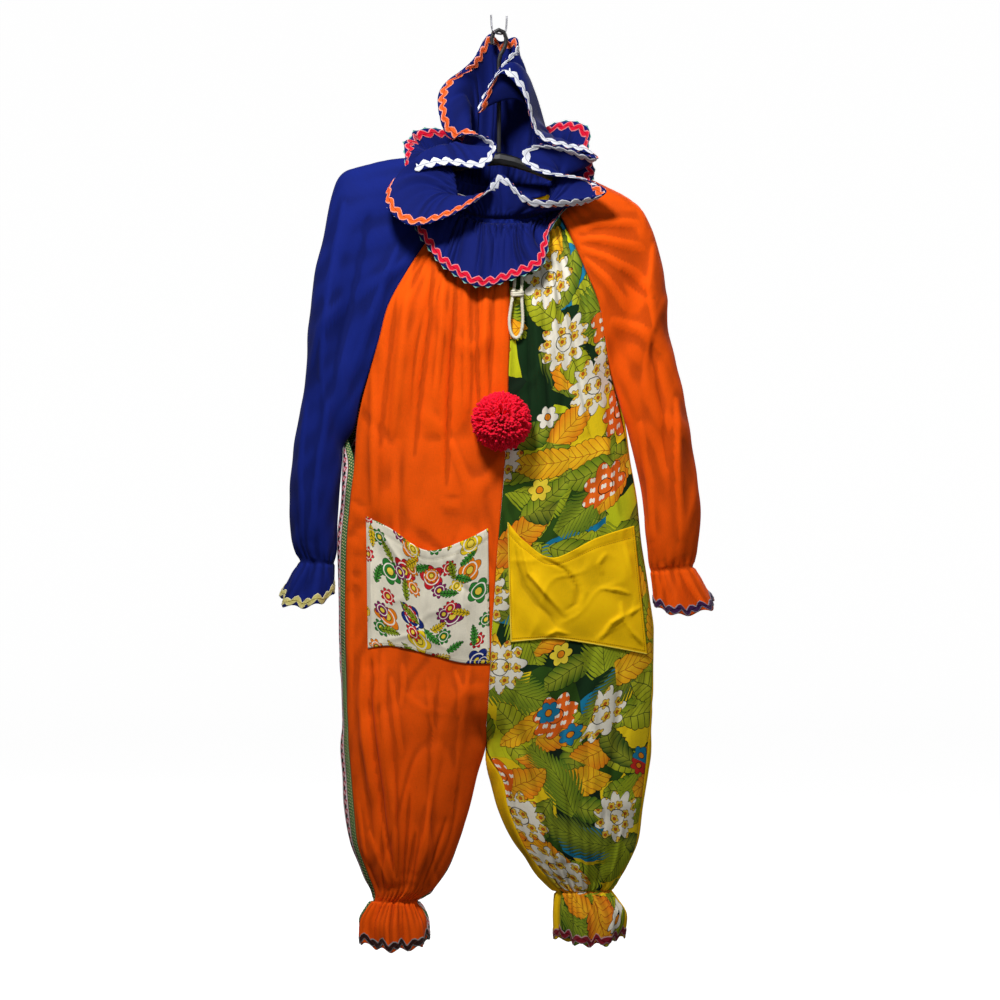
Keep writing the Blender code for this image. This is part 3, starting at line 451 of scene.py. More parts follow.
# Finer folds of the panels, sleeves and pockets: half width, height and lean, then x and z of the
# points along each.
CREASES = {"front_right": rows_of("""
7 3.5 0.3 -208 -576 -206 -705 -205 -825
6 -12 0.35 -210 -1054 -213 -1145 -203 -1234 -195 -1305 -183 -1378 -168 -1431
6 5 0 -223 -1059 -226 -1145 -216 -1234 -206 -1305
8 5 0.2 -190 -1051 -191 -1134 -182 -1233 -173 -1332
6 3.5 0 -178 -1091 -170 -1150 -160 -1223
4 4 0 -210 -1460 -219 -1398 -233 -1299
4 -4.5 0 -190 -1460 -193 -1381 -198 -1282
4 4.5 0.2 -173 -1460 -170 -1381 -175 -1233
4 -4 0 -158 -1460 -152 -1381 -147 -1282
4 4 -0.2 -144 -1460 -129 -1381 -111 -1282
4 -3.5 0 -130 -1457 -109 -1398 -86 -1323
4 2.6 0.2 -256 -800 -243 -817 -219 -830
4 2.2 0 -262 -866 -246 -874 -223 -879
4 2 0 -259 -944 -243 -936 -223 -942
3.5 2 0 -97 -804 -78 -812 -61 -808
4 -3 0 -211 -1068 -206 -1101 -213 -1153
4 2.6 0.2 -160 -1071 -157 -1107 -163 -1143
4 2.6 0 -73 -1081 -61 -1117 -68 -1160
4 2.4 0 -249 -1035 -243 -1081 -246 -1134
4 2 0 -117 -1094 -107 -1183 -114 -1249
7 -8 0.2 -71 -411 -73 -507 -81 -639 -87 -787
6 -7 -0.2 -35 -432 -36 -507 -35 -589 -28 -705
6 -5 0 -7 -432 -12 -556 -16 -639
8 -7 0.2 -107 -399 -114 -507 -129 -622 -140 -738
6 4.5 0 -91 -408 -94 -523 -106 -639
6 4.5 0 -53 -424 -53 -540 -54 -655
5 4 0 -20 -432 -23 -523 -25 -606
8 4 0 -144 -416 -160 -556 -177 -705
8 -4 0 -167 -457 -183 -589 -196 -721
8 3.5 0.2 -48 -1068 -61 -1167 -73 -1282
9 -3 0 -97 -1084 -111 -1200 -117 -1299
7 3 0 -246 -903 -243 -1002 -246 -1117
6 5 0.2 -114 -1299 -122 -1381 -139 -1439
5 -5 0 -137 -1348 -144 -1398 -153 -1450
6 5 -0.2 -213 -1348 -196 -1398 -180 -1444
5 -4 0 -226 -1381 -210 -1422 -196 -1455
7 -3 0 -226 -1200 -219 -1282 -203 -1381
6 1.2 0 -160 -1117 -124 -1147 -78 -1153
"""), "front_left": rows_of("""
7 -6 0.2 68 -411 73 -523 81 -639 87 -754
7 -6 0.2 94 -383 111 -490 130 -606 150 -705
6 -5 0 43 -424 48 -540 51 -672
7 4 0.2 81 -399 92 -523 107 -639
6 4 0 54 -424 61 -540 68 -655
8 -4 0 175 -639 191 -754 203 -837
10 4 0.3 101 -1068 111 -1200 117 -1332
9 -4.5 0.2 200 -1068 191 -1200 177 -1332
8 3.5 0 150 -1117 153 -1233 150 -1365
8 -3.5 0 35 -1167 54 -1266 84 -1365
6 4 0 167 -1332 167 -1381 160 -1431
6 4 0 101 -1348 114 -1398 127 -1434
4 4 0 111 -1447 94 -1381 76 -1299
4 -4.5 0 127 -1447 119 -1381 111 -1274
4 4.5 0.2 144 -1447 144 -1381 140 -1257
4 -4 0 160 -1447 167 -1381 173 -1290
4 4 0 177 -1447 190 -1398 205 -1323
"""), "back_right": rows_of("""
9 4 0.2 -196 -523 -200 -672 -203 -837
9 -4 0 -114 -523 -120 -688 -124 -870
8 4 0 -48 -507 -45 -672 -48 -837
10 5 0.2 -229 -1035 -219 -1200 -200 -1365
10 -5 0 -130 -1035 -139 -1200 -147 -1365
9 4 0 -64 -1101 -73 -1233 -97 -1348
9 3 0 -196 -903 -147 -922 -97 -912
"""), "back_left": rows_of("""
9 4 0.2 200 -606 206 -738 213 -903
9 -4 0 117 -523 124 -688 127 -870
8 4 0 51 -507 48 -672 51 -837
10 5 0.2 233 -1035 223 -1200 203 -1348
10 -5 0 134 -1035 142 -1200 147 -1365
9 4 0 51 -1101 68 -1233 94 -1365
9 3 0 101 -919 150 -936 200 -922
""")}
SLEEVE_FOLDS = {"right": rows_of("""
12 4 0.2 -254 -309 -279 -457 -295 -606
14 -4 0 -213 -325 -243 -474 -279 -639
10 3 0 -163 -375 -205 -490 -246 -606
9 3.5 0.2 -279 -639 -299 -754 -309 -870
7 3 0 -318 -639 -325 -754 -322 -870
8 2.5 0 -254 -474 -295 -523 -315 -589
"""), "left": rows_of("""
7 3 0 125 -361 167 -348 233 -345
7 3.2 0 130 -375 175 -375 241 -388
7 3.2 0 134 -388 177 -404 233 -437
7 3 0 140 -404 177 -441 213 -490
6 -2.6 0 200 -424 233 -457 257 -474
8 3.2 0.2 257 -375 246 -457 257 -523
8 5 0.4 292 -632 292 -738 299 -870
10 -3.5 0 249 -523 269 -639 279 -754
8 3.5 0 233 -672 249 -771 257 -870
8 2.4 0 183 -507 233 -523 272 -556
""")}
POCKET_FOLDS = {"right": rows_of("""
5 3.5 0.3 -211 -837 -211 -936 -210 -1035
6 2.4 0 -114 -889 -124 -969 -134 -1051
5 2 0.2 -196 -853 -163 -903 -147 -969
6 2.4 0 -48 -878 -61 -969 -48 -1059
5 -2 0 -97 -889 -73 -936 -31 -969
5 1.8 0 -188 -1035 -130 -1021 -81 -1051
"""), "left": rows_of("""
3.5 -2.6 0.3 26 -878 30 -909 41 -947 61 -974 84 -995 99 -1021
4.5 3.4 0.3 35 -870 48 -924 91 -974 112 -998
4 -2.4 0.3 68 -899 109 -917 129 -947 125 -974 106 -988
4.5 2.2 0 81 -896 120 -922 140 -955 134 -985
3.5 3.4 0.3 200 -969 203 -995 186 -1005 162 -1035
3.5 3.2 0.2 200 -988 221 -1023 249 -1054
3 2.4 0.2 167 -949 196 -952 219 -960
3 2 0 203 -997 234 -980 246 -972
3 2 0 177 -889 163 -909 172 -927
3.5 1.8 0 206 -870 216 -909 221 -932
4 2 0 15 -903 21 -952 25 -1018
3.5 2.2 0 68 -1035 94 -1018 117 -1025
""")}

# Points down and across each panel and sleeve, and the seeds of their random waves.
PANEL_GRID = {"front": (250, 84), "back": (190, 60)}
SLEEVE_GRID = (170, 76)
SEEDS = {"front_right": 11, "front_left": 23, "back_right": 37, "back_left": 41,
         "sleeve_right": 61, "sleeve_left": 73}
# What panels and sleeves have in detail: small gathers under the neck, above the cuff's casing
# and below it (count, breadth as a share of their spacing, height, reach in rows, and rows in
# which they rise), two waves and then crumples (length, stretch, height), and the waves of the
# frill's hem (rows in which they rise, height, count).
DETAIL = {
    "panel": (ANKLE_ROW, ((15, 0.30, 6.2, 5.5, 0.5), (15, 0.30, 5.0, 3.2, 0.4),
                          (13, 0.34, 7.0, 6.0, 0.3)),
              ((130, 2.6, 1.5), (50, 1.8, 0.5)), ((150, 2.6, 1.8), (170, 2.2, -1.4)),
              (3.0, 3.5, 4.5)),
    "sleeve": (WRIST_ROW, ((13, 0.30, 3.0, 4.0, 0.8), (19, 0.32, 4.2, 2.4, 0.35),
                           (17, 0.34, 4.5, 3.0, 0.25)),
               ((120, 2.0, 1.5), (40, 1.6, 0.4)), ((150, 2.2, 2.0),), (2.0, 3.0, 7.5)),
}
SLEEVE_SHARE = 260       # breadth of a sleeve's cloth for its waves

# Flat pieces as they were cut: width, length and area in metres.
CUTS = {
    "front_right": (0.36, 1.34, 0.27), "front_left": (0.36, 1.33, 0.26),
    "back_right": (0.38, 1.36, 0.33), "back_left": (0.38, 1.34, 0.30),
    "sleeve_right": (0.36, 0.80, 0.21), "sleeve_left": (0.36, 0.78, 0.20),
    "ruffle_upper": (1.97, 0.155, 0.16), "ruffle_lower": (1.09, 0.095, 0.085),
    "neck_casing": (0.62, 0.024, 0.0148), "pocket_right": (0.21, 0.20, 0.041),
    "pocket_left": (0.24, 0.18, 0.039),
}
# Braids: colour of the braid, and of the thread line along its middle.
BRAIDS = {
    "cream": ((226, 214, 130), (160, 140, 60)), "purple": ((64, 26, 78), (30, 10, 40)),
    "brown": ((48, 18, 16), (90, 50, 40)), "wine": ((146, 24, 42), (90, 10, 24)),
    "red": ((226, 14, 52), (140, 8, 34)), "teal": ((50, 160, 140), (20, 90, 84)),
    "white": ((232, 234, 242), (132, 136, 150)), "orange": ((246, 100, 34), (170, 50, 16)),
}


# ---------------------------------------------------------------- the CAD's shapes
def curve_value(rows, place):
    """A smooth value between the rows of a table, at a fractional row."""
    last = len(rows) - 1
    place = min(max(place, 0.0), float(last))
    index = min(int(floor(place)), last - 1)
    u = place - index
    before = rows[max(index - 1, 0)]
    here, after = rows[index], rows[index + 1]
    beyond = rows[min(index + 2, last)]
    result = []
    for a, b, c, d in zip(before, here, after, beyond):
        slope_in, slope_out = 0.5 * (c - a), 0.5 * (d - b)
        result.append((2 * u**3 - 3 * u**2 + 1) * b + (u**3 - 2 * u**2 + u) * slope_in
                      + (3 * u**2 - 2 * u**3) * c + (u**3 - u**2) * slope_out)
    return result


def spread(points, count, trim_start=0.0, trim_end=0.0):
    """count + 1 points at equal steps along a polyline, its ends trimmed by a length."""
    lengths = [0.0]
    for a, b in zip(points, points[1:]):
        lengths.append(lengths[-1] + (b - a).length)
    start, end = trim_start, lengths[-1] - trim_end
    result, k = [], 0
    for step in range(count + 1):
        target = start + (end - start) * step / count
        while k < len(points) - 2 and lengths[k + 1] < target:
            k += 1
        share = (target - lengths[k]) / max(lengths[k + 1] - lengths[k], 1e-9)
        result.append(points[k].lerp(points[k + 1], share))
    return result


def smooth_route(points, steps):
    """A smooth route of steps stretches through given points."""
    rows = [tuple(point) for point in points]
    span = len(rows) - 1
    fine = [Vector(curve_value(rows, span * i / (steps * 4))) for i in range(steps * 4 + 1)]
    return spread(fine, steps)


def half_rows(side):
    """One half's rows: z, seam x, front angle, back angle, inner x, inner angle, depth, sweep,
    rise, lift, from the neck to the ankle frill."""
    seam = 1 if side == "right" else 5
    body = [(row[0], *row[seam:seam + 3], row[4], 0.0, *row[8:]) for row in BODY_ROWS]
    return body + [(z, x_out, start, start, x_in, inner, depth, 180.0, 0.0, 0.0)
                   for z, x_out, start, x_in, inner, depth in LEG_ROWS[side]]


HALVES = {side: half_rows(side) for side in SIDES}


def fold_height(folds, x, z):
    """How far the large folds lift the cloth at a place on a panel."""
    total = 0.0
    for x0, z0, x1, z1, width, height in folds:
        run = Vector((x1 - x0, z1 - z0))
        reach = Vector((x - x0, z - z0))
        share = reach.dot(run) / run.length_squared
        if -0.15 < share < 1.15:
            aside = (reach - run * share).length
            fade = sin(pi * min(max(share, 0.0), 1.0)) ** 0.5
            total += height * fade * exp(-((aside / width) ** 2))
    return total


def ripple(side, face, row, share):
    """Gathers under the neck and at the ankle, and the waves of the ankle frill."""
    shift = {"right": 0.0, "left": 0.35}[side] + (0.5 if face == "back" else 0.0)
    edge = sin(pi * min(max(share, 0.0), 1.0)) ** 0.5
    height, deepest, reach, count = NECK_GATHERS
    gather = (height * exp(-((row - deepest) / reach) ** 2) * min(row, 1.0)
              * cos(2 * pi * count * share))
    height, reach, count = ANKLE_GATHERS
    ankle = height * exp(-((row - ANKLE_ROW) / reach) ** 2) * cos(2 * pi * count * share)
    height, count = ANKLE_FRILL
    wave = height * frill_share(row) * cos(2 * pi * (count * share + shift))
    return (gather + ankle + wave) * edge


def frill_share(row):
    """How far down an ankle frill a row is, from 0 at its gathers to 1 at its hem."""
    return max(0.0, row - ANKLE_ROW) / (LAST_ROW - ANKLE_ROW)


def beside(line):
    """Each point of a line, its share of the way and the level direction square to the line."""
    last = len(line) - 1
    for j, point in enumerate(line):
        across = line[min(j + 1, last)] - line[max(j - 1, 0)]
        yield point, j / last, Vector((across.y, -across.x, 0)).normalized()


def panel_line(side, face, row, count, trim=SEAM_GAP, steps=90):
    """Points across one panel at a level, from its outer seam to its inner seam."""
    (z, seam_x, front, back, inner_x, inner, depth, sweep, rise, lift) = curve_value(
        HALVES[side], row)
    squeeze = sin(radians(max(0.0, sweep - 90.0))) if row <= CROTCH_ROW else 0.0
    inner_x += AWAY[side] * CENTRE_SEAM * squeeze
    end = cos(radians(sweep))
    outer_x = inner_x - (inner_x - seam_x) * (1 - end) / (cos(radians(front)) - end)
    start, stop = (front, sweep - inner) if face == "front" else (back, -(sweep + inner))
    fine = []
    for i in range(steps + 1):
        angle = radians(start + (stop - start) * i / steps)
        x = outer_x + (inner_x - outer_x) * (1 - cos(angle)) / (1 - end)
        up = lift * (1 - i / steps) ** 2.5
        if face == "back":
            up = rise + 0.5 * up
        fine.append(Vector((x, -depth * sin(angle), z + up)))
    folds = FRONT_FOLDS if face == "front" else BACK_FOLDS
    out = 1.0 if (face == "front") == (side == "right") else -1.0
    result = []
    for point, share, normal in beside(spread(fine, count, trim, trim)):
        edge = min(1.0, SEAM_EASE * min(share, 1 - share))
        height = fold_height(folds, point.x, point.z) * edge + ripple(side, face, row, share)
        hem = HEM_RISE * frill_share(row) * (1 - sin(pi * share) ** 0.5)
        result.append(point + normal * (out * height) + Vector((0.0, 0.0, hem)))
    return result


def sleeve_seams(side):
    """Each section's front and back seam point, outer edge, depth and sweep."""
    result = []
    for raglan, *seam, out_x, out_z, depth, sweep in SLEEVE_ROWS[side]:
        ends = seam + seam
        if raglan >= 0:
            aside = Vector((AWAY[side] * UNDERARM_ROOM * max(0, raglan - 4), 0.0, 0.0))
            ends = [value for face in ("front", "back")
                    for value in panel_line(side, face, raglan, 1, 0.0)[0] + aside]
        result.append((*ends, out_x, out_z, depth, sweep))
    return result


SLEEVE_SEAMS = {side: sleeve_seams(side) for side in SIDES}


def sleeve_line(side, row, count, trim=SLEEVE_GAP, steps=60):
    """Points around a sleeve at a section, from its front seam over the outside to its back."""
    *seams, out_x, out_z, depth, sweep = curve_value(SLEEVE_SEAMS[side], row)
    outer = Vector((out_x, 0.0, out_z))
    reach = radians(min(sweep, 180.0))
    frill = max(0.0, row - WRIST_ROW) / 2.0
    halves = []
    for sign, seam, face in ((-1, Vector(seams[:3]), "front"), (1, Vector(seams[3:]), "back")):
        half = []
        for i in range(steps + 1):
            angle = reach * i / steps
            share = (1 - cos(angle)) / (1 - cos(reach))
            settle = (seam.y - sign * depth * sin(reach)) * (i / steps) ** 2
            drop = -WRIST_DROP[face] * frill * sin(angle)
            half.append(outer.lerp(Vector((seam.x, 0.0, seam.z)), share)
                        + Vector((0.0, sign * depth * sin(angle) + settle, drop)))
        halves.append(half)
    line = spread(halves[0][::-1] + halves[1][1:], count, trim, trim)
    result = []
    for point, share, normal in beside(line):
        edge = min(1.0, SLEEVE_EASE * min(share, 1 - share))
        height, folds = WRIST_FRILL
        wave = height * frill * cos(2 * pi * folds * share)
        height, extent, folds = WRIST_GATHERS
        wrist = height * exp(-((row - WRIST_ROW) / extent) ** 2) * cos(2 * pi * folds * share)
        result.append(point + normal * (AWAY[side] * ((wave + wrist) * edge)))
    return result


def neck_ring(count, steps=24):
    """The neckline, from the centre front round by the wearer's right."""
    stretches = (
        panel_line("right", "front", 0, steps, 0.0)[::-1],
        sleeve_line("right", 0, steps, 0.0),
        panel_line("right", "back", 0, steps, 0.0),
        panel_line("left", "back", 0, steps, 0.0)[::-1],
        sleeve_line("left", 0, steps, 0.0)[::-1],
        panel_line("left", "front", 0, steps, 0.0),
    )
    fine = stretches[0] + [point for stretch in stretches[1:] for point in stretch[1:]]
    return spread(fine, count)[:count]


def ring_upward(count, i):
    """Direction and length of the casing above a point of the neck ring."""
    turn = 360.0 * i / count
    rows = [*CASING_RISE, (CASING_RISE[0][0] + 360.0, *CASING_RISE[0][1:])]
    k = max(j for j, row in enumerate(rows) if row[0] <= turn)
    place = k + (turn - rows[k][0]) / (rows[k + 1][0] - rows[k][0])
    return Vector(curve_value(rows, place)[1:])


def ring_outward(ring, i):
    """Direction away from the neck, square to the ring and to the casing."""
    count = len(ring)
    along = ring[(i + 1) % count] - ring[i - 1]
    return ring_upward(count, i).cross(along).normalized()


# ---------------------------------------------------------------- materials
class Num:
    """A socket of a node tree that can be reckoned with."""

    def __init__(self, cloth, socket):
        self.cloth, self.socket = cloth, socket

    def __rsub__(self, other):
        return self.cloth.math("SUBTRACT", other, self)


def method_of(operation):
    """A method of Num that makes a Math node."""
    return lambda self, *values: self.cloth.math(operation, self, *values)


for method, operation in (
        ("__add__", "ADD"), ("__radd__", "ADD"), ("__sub__", "SUBTRACT"),
        ("__mul__", "MULTIPLY"), ("__rmul__", "MULTIPLY"), ("__truediv__", "DIVIDE"),
        ("__lt__", "LESS_THAN"), ("__gt__", "GREATER_THAN"), ("abs", "ABSOLUTE"),
        ("sin", "SINE"), ("cos", "COSINE"), ("frac", "FRACT"), ("root", "SQRT"),
        ("min", "MINIMUM"), ("max", "MAXIMUM")):
    setattr(Num, method, method_of(operation))


def srgb(*values):
    """A linear colour with its alpha, from 0-255 display values."""
    shares = [value / 255 for value in values]
    return (*(v / 12.92 if v <= 0.04045 else ((v + 0.055) / 1.055) ** 2.4 for v in shares), 1.0)


INK = srgb(18, 20, 16)


class Cloth:
    """A material's node tree, with the cloth's own coordinates in metres."""

    def __init__(self, name, sheen=0.03, specular=0.1):
        self.material = bpy.data.materials.new(name)
        self.material.use_nodes = True
        self.tree = self.material.node_tree
        self.set("Sheen Weight", sheen)
        self.set("Sheen Roughness", 0.45)
        self.set("Sheen Tint", (1, 1, 1, 1))
        self.set("Specular IOR Level", specular)
        self.uv = self.node("UVMap", uv_map="Cloth").outputs["UV"]
        self.u, self.v, _ = self.split(self.uv)

    def put(self, socket, value):
        """Sets a socket to a constant, or links it."""
        if isinstance(value, Num):
            value = value.socket
        if isinstance(value, bpy.types.NodeSocket):
            self.tree.links.new(value, socket)
        else:
            socket.default_value = value

    def set(self, name, value):
        """Sets or links a socket of the shader."""
        self.put(self.tree.nodes["Principled BSDF"].inputs[name], value)

    def node(self, kind, inputs=(), **settings):
        """A new node with its settings and its inputs."""
        node = self.tree.nodes.new("ShaderNode" + kind)
        for key, value in settings.items():
            setattr(node, key, value)
        for key, value in dict(inputs).items():
            self.put(node.inputs[key], value)
        return node

    def math(self, operation, *values):
        return Num(self, self.node("Math", enumerate(values), operation=operation).outputs[0])

    def vector(self, *values):
        return self.node("CombineXYZ", enumerate(values)).outputs[0]

    def split(self, vector):
        return [Num(self, out) for out in self.node("SeparateXYZ", {0: vector}).outputs]

    def mix(self, factor, first, second, blend="MIX"):
        return self.node("Mix", {"Factor": factor, "A": first, "B": second}, data_type="RGBA",
                         blend_type=blend).outputs["Result"]

    def step(self, value, low, high, kind="LINEAR"):
        """0 below low, 1 above high."""
        node = self.node("MapRange", {"Value": value, "From Min": low, "From Max": high},
                         interpolation_type=kind, clamp=True)
        return Num(self, node.outputs["Result"])

    def noise(self, vector, scale, detail=2.0):
        node = self.node("TexNoise", {"Vector": vector, "Scale": scale, "Detail": detail,
                                      "Roughness": 0.5})
        return Num(self, node.outputs["Fac"])

    def voronoi(self, vector, scale, uneven, feature="F1"):
        return self.node("TexVoronoi", {"Vector": vector, "Scale": scale, "Randomness": uneven},
                         voronoi_dimensions="2D", feature=feature).outputs

    def cells(self, vector, scale, uneven):
        """Cells of a plane: each place's offset from its cell's centre and the cell's numbers."""
        found = self.voronoi(vector, scale, uneven)
        x, y, _ = self.split(vector)
        cx, cy, _ = self.split(found["Position"])
        return x - cx, y - cy, self.split(found["Color"])

    def rim(self, vector, scale, uneven):
        """Distance to the border between cells."""
        return Num(self, self.voronoi(vector, scale, uneven, "DISTANCE_TO_EDGE")["Distance"])

    def scattered(self, shift, scale, uneven):
        """Cells whose contents are each turned their own way."""
        moved = self.vector(self.u + shift[0], self.v + shift[1])
        x, y, numbers = self.cells(moved, scale, uneven)
        angle = numbers[1] * (2 * pi)
        c, s = angle.cos(), angle.sin()
        return moved, x * c + y * s, y * c - x * s, numbers

    def ramp(self, value, *bands):
        """Bands of colour over 0 to 1: where each starts, and its colour."""
        node = self.node("ValToRGB", {"Fac": value})
        ramp = node.color_ramp
        ramp.interpolation = "CONSTANT"
        ramp.elements[0].position, ramp.elements[0].color = 0.0, srgb(*bands[0][1:])
        ramp.elements[1].position, ramp.elements[1].color = bands[1][0], srgb(*bands[1][1:])
        for place, *colour in bands[2:]:
            ramp.elements.new(place).color = srgb(*colour)
        return node.outputs["Color"]

    def bump(self, height, strength):
        node = self.node("Bump", {"Strength": strength, "Distance": 0.0003, "Height": height})
        self.set("Normal", node.outputs["Normal"])

    def finish(self, colour, pitch=0.0008, weave=0.25, fade=0.35, extra=None):
        """Colour with the yarn's uneven tone, ridges lightened as wear and creases darkened as painted shade (fade
        scales both), and the bump of a plain weave.
        """
        slub_u = self.noise(self.vector(self.u * 90, self.v * 1500), 1.0)
        slub_v = self.noise(self.vector(self.u * 1500, self.v * 90), 1.0)
        cloud = self.noise(self.vector(self.u, self.v), 9.0, 3.0)
        tone = (slub_u - 0.5) * 0.3 + (slub_v - 0.5) * 0.3 + (cloud - 0.5) * 0.35 + 1.0
        wear_and_crease_shade = Num(self, self.node("Attribute", attribute_name="ridge").outputs["Fac"])
        # painted shade: where the ridge attribute is below 0, in the creases, the colour is darkened; where it is
        # above 0, on the ridges, it is lightened as wear
        tone = tone + wear_and_crease_shade.max(0.0) * (fade * 0.25) + wear_and_crease_shade.min(0.0) * (fade * 0.85)
        self.set("Base Color", self.mix(1.0, colour, self.vector(tone, tone, tone), "MULTIPLY"))
        turn = 2 * pi / pitch
        height = (self.u * turn).sin() * (self.v * turn).sin() * 0.5 + (slub_u + slub_v) * 0.9
        self.bump(height if extra is None else height + extra, weave)
        self.set("Roughness", self.step(cloud, 0.0, 1.0) * 0.16 + 0.72)
        return self.material


def plain(name, colour, **settings):
    """Plain dyed cotton."""
    return Cloth(name).finish(srgb(*colour), **settings)


def feather(x, y, length, width, pitch, slope, notch, line):
    """A leaf of slanted leaflets: where it is, its veins, its rim and its leaflets."""
    along = x / length
    envelope = (1.0 - along * along).max(0.0) * width
    across = y.abs()
    leaflet = ((x - across * slope) / pitch).frac()
    tip = (leaflet - 0.5).abs() * 2.0
    edge = envelope * (1.0 - tip * tip * notch)
    inside = (across < edge) * (envelope > 0.0)
    vein = (tip > 1.0 - 1.5 * line / pitch).max(across < line * 0.6)
    return inside, vein, across > edge - line, leaflet


def blossom(cloth, x, y, radius, petals, line=0.0011):
    """A flower: where it is, where its lines are, and how far out a place is."""
    reach = (x * x + y * y).root()
    angle = cloth.math("ARCTAN2", y, x)
    lobe = (angle * (petals / 2.0)).sin().abs()
    edge = (lobe * 0.32 + 0.68) * radius
    lines = (reach > edge - line).max(((reach - radius * 0.3).abs()) < line * 0.6)
    return reach < edge, lines, reach / radius


# Leaves of the print: length, breadth, leaflet pitch, slope, notch and line, then the bands of
# its colour, its vein and its light tone.
LEAVES = {
    "broad": ((0.060, 0.024, 0.0125, 0.7, 0.08, 0.0010),
              ((0.0, 58, 98, 22), (0.3, 160, 166, 24), (0.6, 100, 130, 20),
               (0.85, 30, 70, 26)), (24, 52, 18), (190, 192, 50)),
    "palm": ((0.075, 0.038, 0.0100, 1.5, 0.55, 0.0009),
             ((0.0, 70, 108, 28), (0.35, 140, 156, 26), (0.7, 104, 132, 24),
              (0.86, 26, 64, 28)), (22, 46, 18), (176, 186, 40)),
    "golden": ((0.066, 0.026, 0.0120, 0.9, 0.12, 0.0010),
               ((0.0, 236, 130, 16), (0.45, 240, 168, 20), (0.8, 226, 100, 18)),
               (176, 78, 12), (250, 210, 40)),
}
# Layers of the print, from the ground up: shift, cells for each metre, their unevenness, the
# share of them that is filled, and the motif.
LAYERS = (
    ((0.31, 0.77), 11.5, 0.8, 0.80, "broad"), ((1.13, 0.19), 9.5, 0.8, 0.62, "palm"),
    ((0.57, 2.23), 12.0, 0.9, 0.40, "golden"), ((3.37, 0.61), 13.0, 0.9, 0.40, "broad"),
    ((4.19, 2.57), 10.5, 0.9, 0.30, "palm"), ((5.23, 1.87), 13.5, 0.9, 0.22, "golden"),
    ((2.71, 1.41), 9.0, 0.9, 0.20, "cloud"), ((6.37, 0.23), 10.0, 0.9, 0.12, "dotted"),
    ((1.91, 3.07), 17.0, 0.9, 0.22, "bloom"),
)


def leaf(cloth, x, y, numbers, size, bands, vein_colour, light):
    """Where a leaf is, its outline, and its colour."""
    inside, vein, rim, leaflet = feather(x, y, *size)
    paint = cloth.ramp(numbers[0], *bands)
    middle = (1.0 - (y / (size[1] * 0.8)).abs()).max(0.0)
    paint = cloth.mix(middle * 0.55, paint, srgb(*light))
    paint = cloth.mix(leaflet * 0.2, paint, srgb(*light))
    return inside, rim, cloth.mix(vein * 0.85, paint, srgb(*vein_colour))


def bloom(cloth, x, y, numbers):
    """A small flower with a yellow middle."""
    inside, lines, out = blossom(cloth, x, y, 0.020, 6.0)
    petals = cloth.ramp(numbers[0], (0.0, 30, 128, 168), (0.3, 246, 218, 60),
                        (0.62, 244, 238, 220), (0.80, 200, 46, 34))
    return inside, lines, cloth.mix(out < 0.3, petals, srgb(240, 140, 20))


def cloud(cloth, x, y, numbers):
    """A white cloud of small flowers."""
    inside, lines, _ = blossom(cloth, x, y, 0.046, 11.0)
    fx, fy, _ = cloth.cells(cloth.uv, 46.0, 0.35)
    small, trace, reach = blossom(cloth, fx, fy, 0.0085, 5.0, 0.0009)
    paint = cloth.mix(small, srgb(236, 230, 212), srgb(232, 190, 60))
    paint = cloth.mix(small * trace, paint, srgb(96, 66, 20))
    return inside, lines, cloth.mix(small * (reach < 0.3), paint, srgb(190, 90, 24))


def dotted(cloth, x, y, numbers):
    """An orange flower with white dots."""
    inside, lines, _ = blossom(cloth, x, y, 0.040, 7.0)
    fx, fy, _ = cloth.cells(cloth.vector(cloth.u + 0.4, cloth.v), 62.0, 0.2)
    dot = (fx.abs() < 0.0042) * (fy.abs() < 0.0042 - (fx.abs() - 0.0022).abs() * 0.9)
    return inside, lines, cloth.mix(dot, srgb(236, 104, 24), srgb(246, 238, 220))


def foliage(name):
    """A dense all-over print of leaves and flowers with thin dark outlines."""
    cloth = Cloth(name)
    warp = cloth.noise(cloth.uv, 14.0, 1.0)
    place = cloth.vector(cloth.u + (warp - 0.5) * 0.02, cloth.v + (warp - 0.5) * 0.03)
    _, _, numbers = cloth.cells(place, 12.0, 0.9)
    colour = cloth.ramp(numbers[0], (0.0, 46, 78, 20), (0.18, 238, 204, 24),
                        (0.40, 20, 48, 22), (0.56, 24, 122, 160), (0.68, 18, 36, 20),
                        (0.88, 200, 206, 30))
    colour = cloth.mix(cloth.rim(place, 12.0, 0.9) < 0.0012, colour, INK)
    flowers = {"bloom": bloom, "cloud": cloud, "dotted": dotted}
    for shift, scale, uneven, chance, motif in LAYERS:
        moved, x, y, numbers = cloth.scattered(shift, scale, uneven)
        if motif in LEAVES:
            inside, lines, paint = leaf(cloth, x, y, numbers, *LEAVES[motif])
        else:
            inside, lines, paint = flowers[motif](cloth, x, y, numbers)
        border = cloth.rim(moved, scale, uneven) < 0.0010
        paint = cloth.mix(lines.max(border), paint, INK)
        colour = cloth.mix(inside * (numbers[2] < chance), colour, paint)
    # fade 0.3: less wear on the ridges and less painted shade in the creases than the plain cottons
    return cloth.finish(colour, fade=0.3)


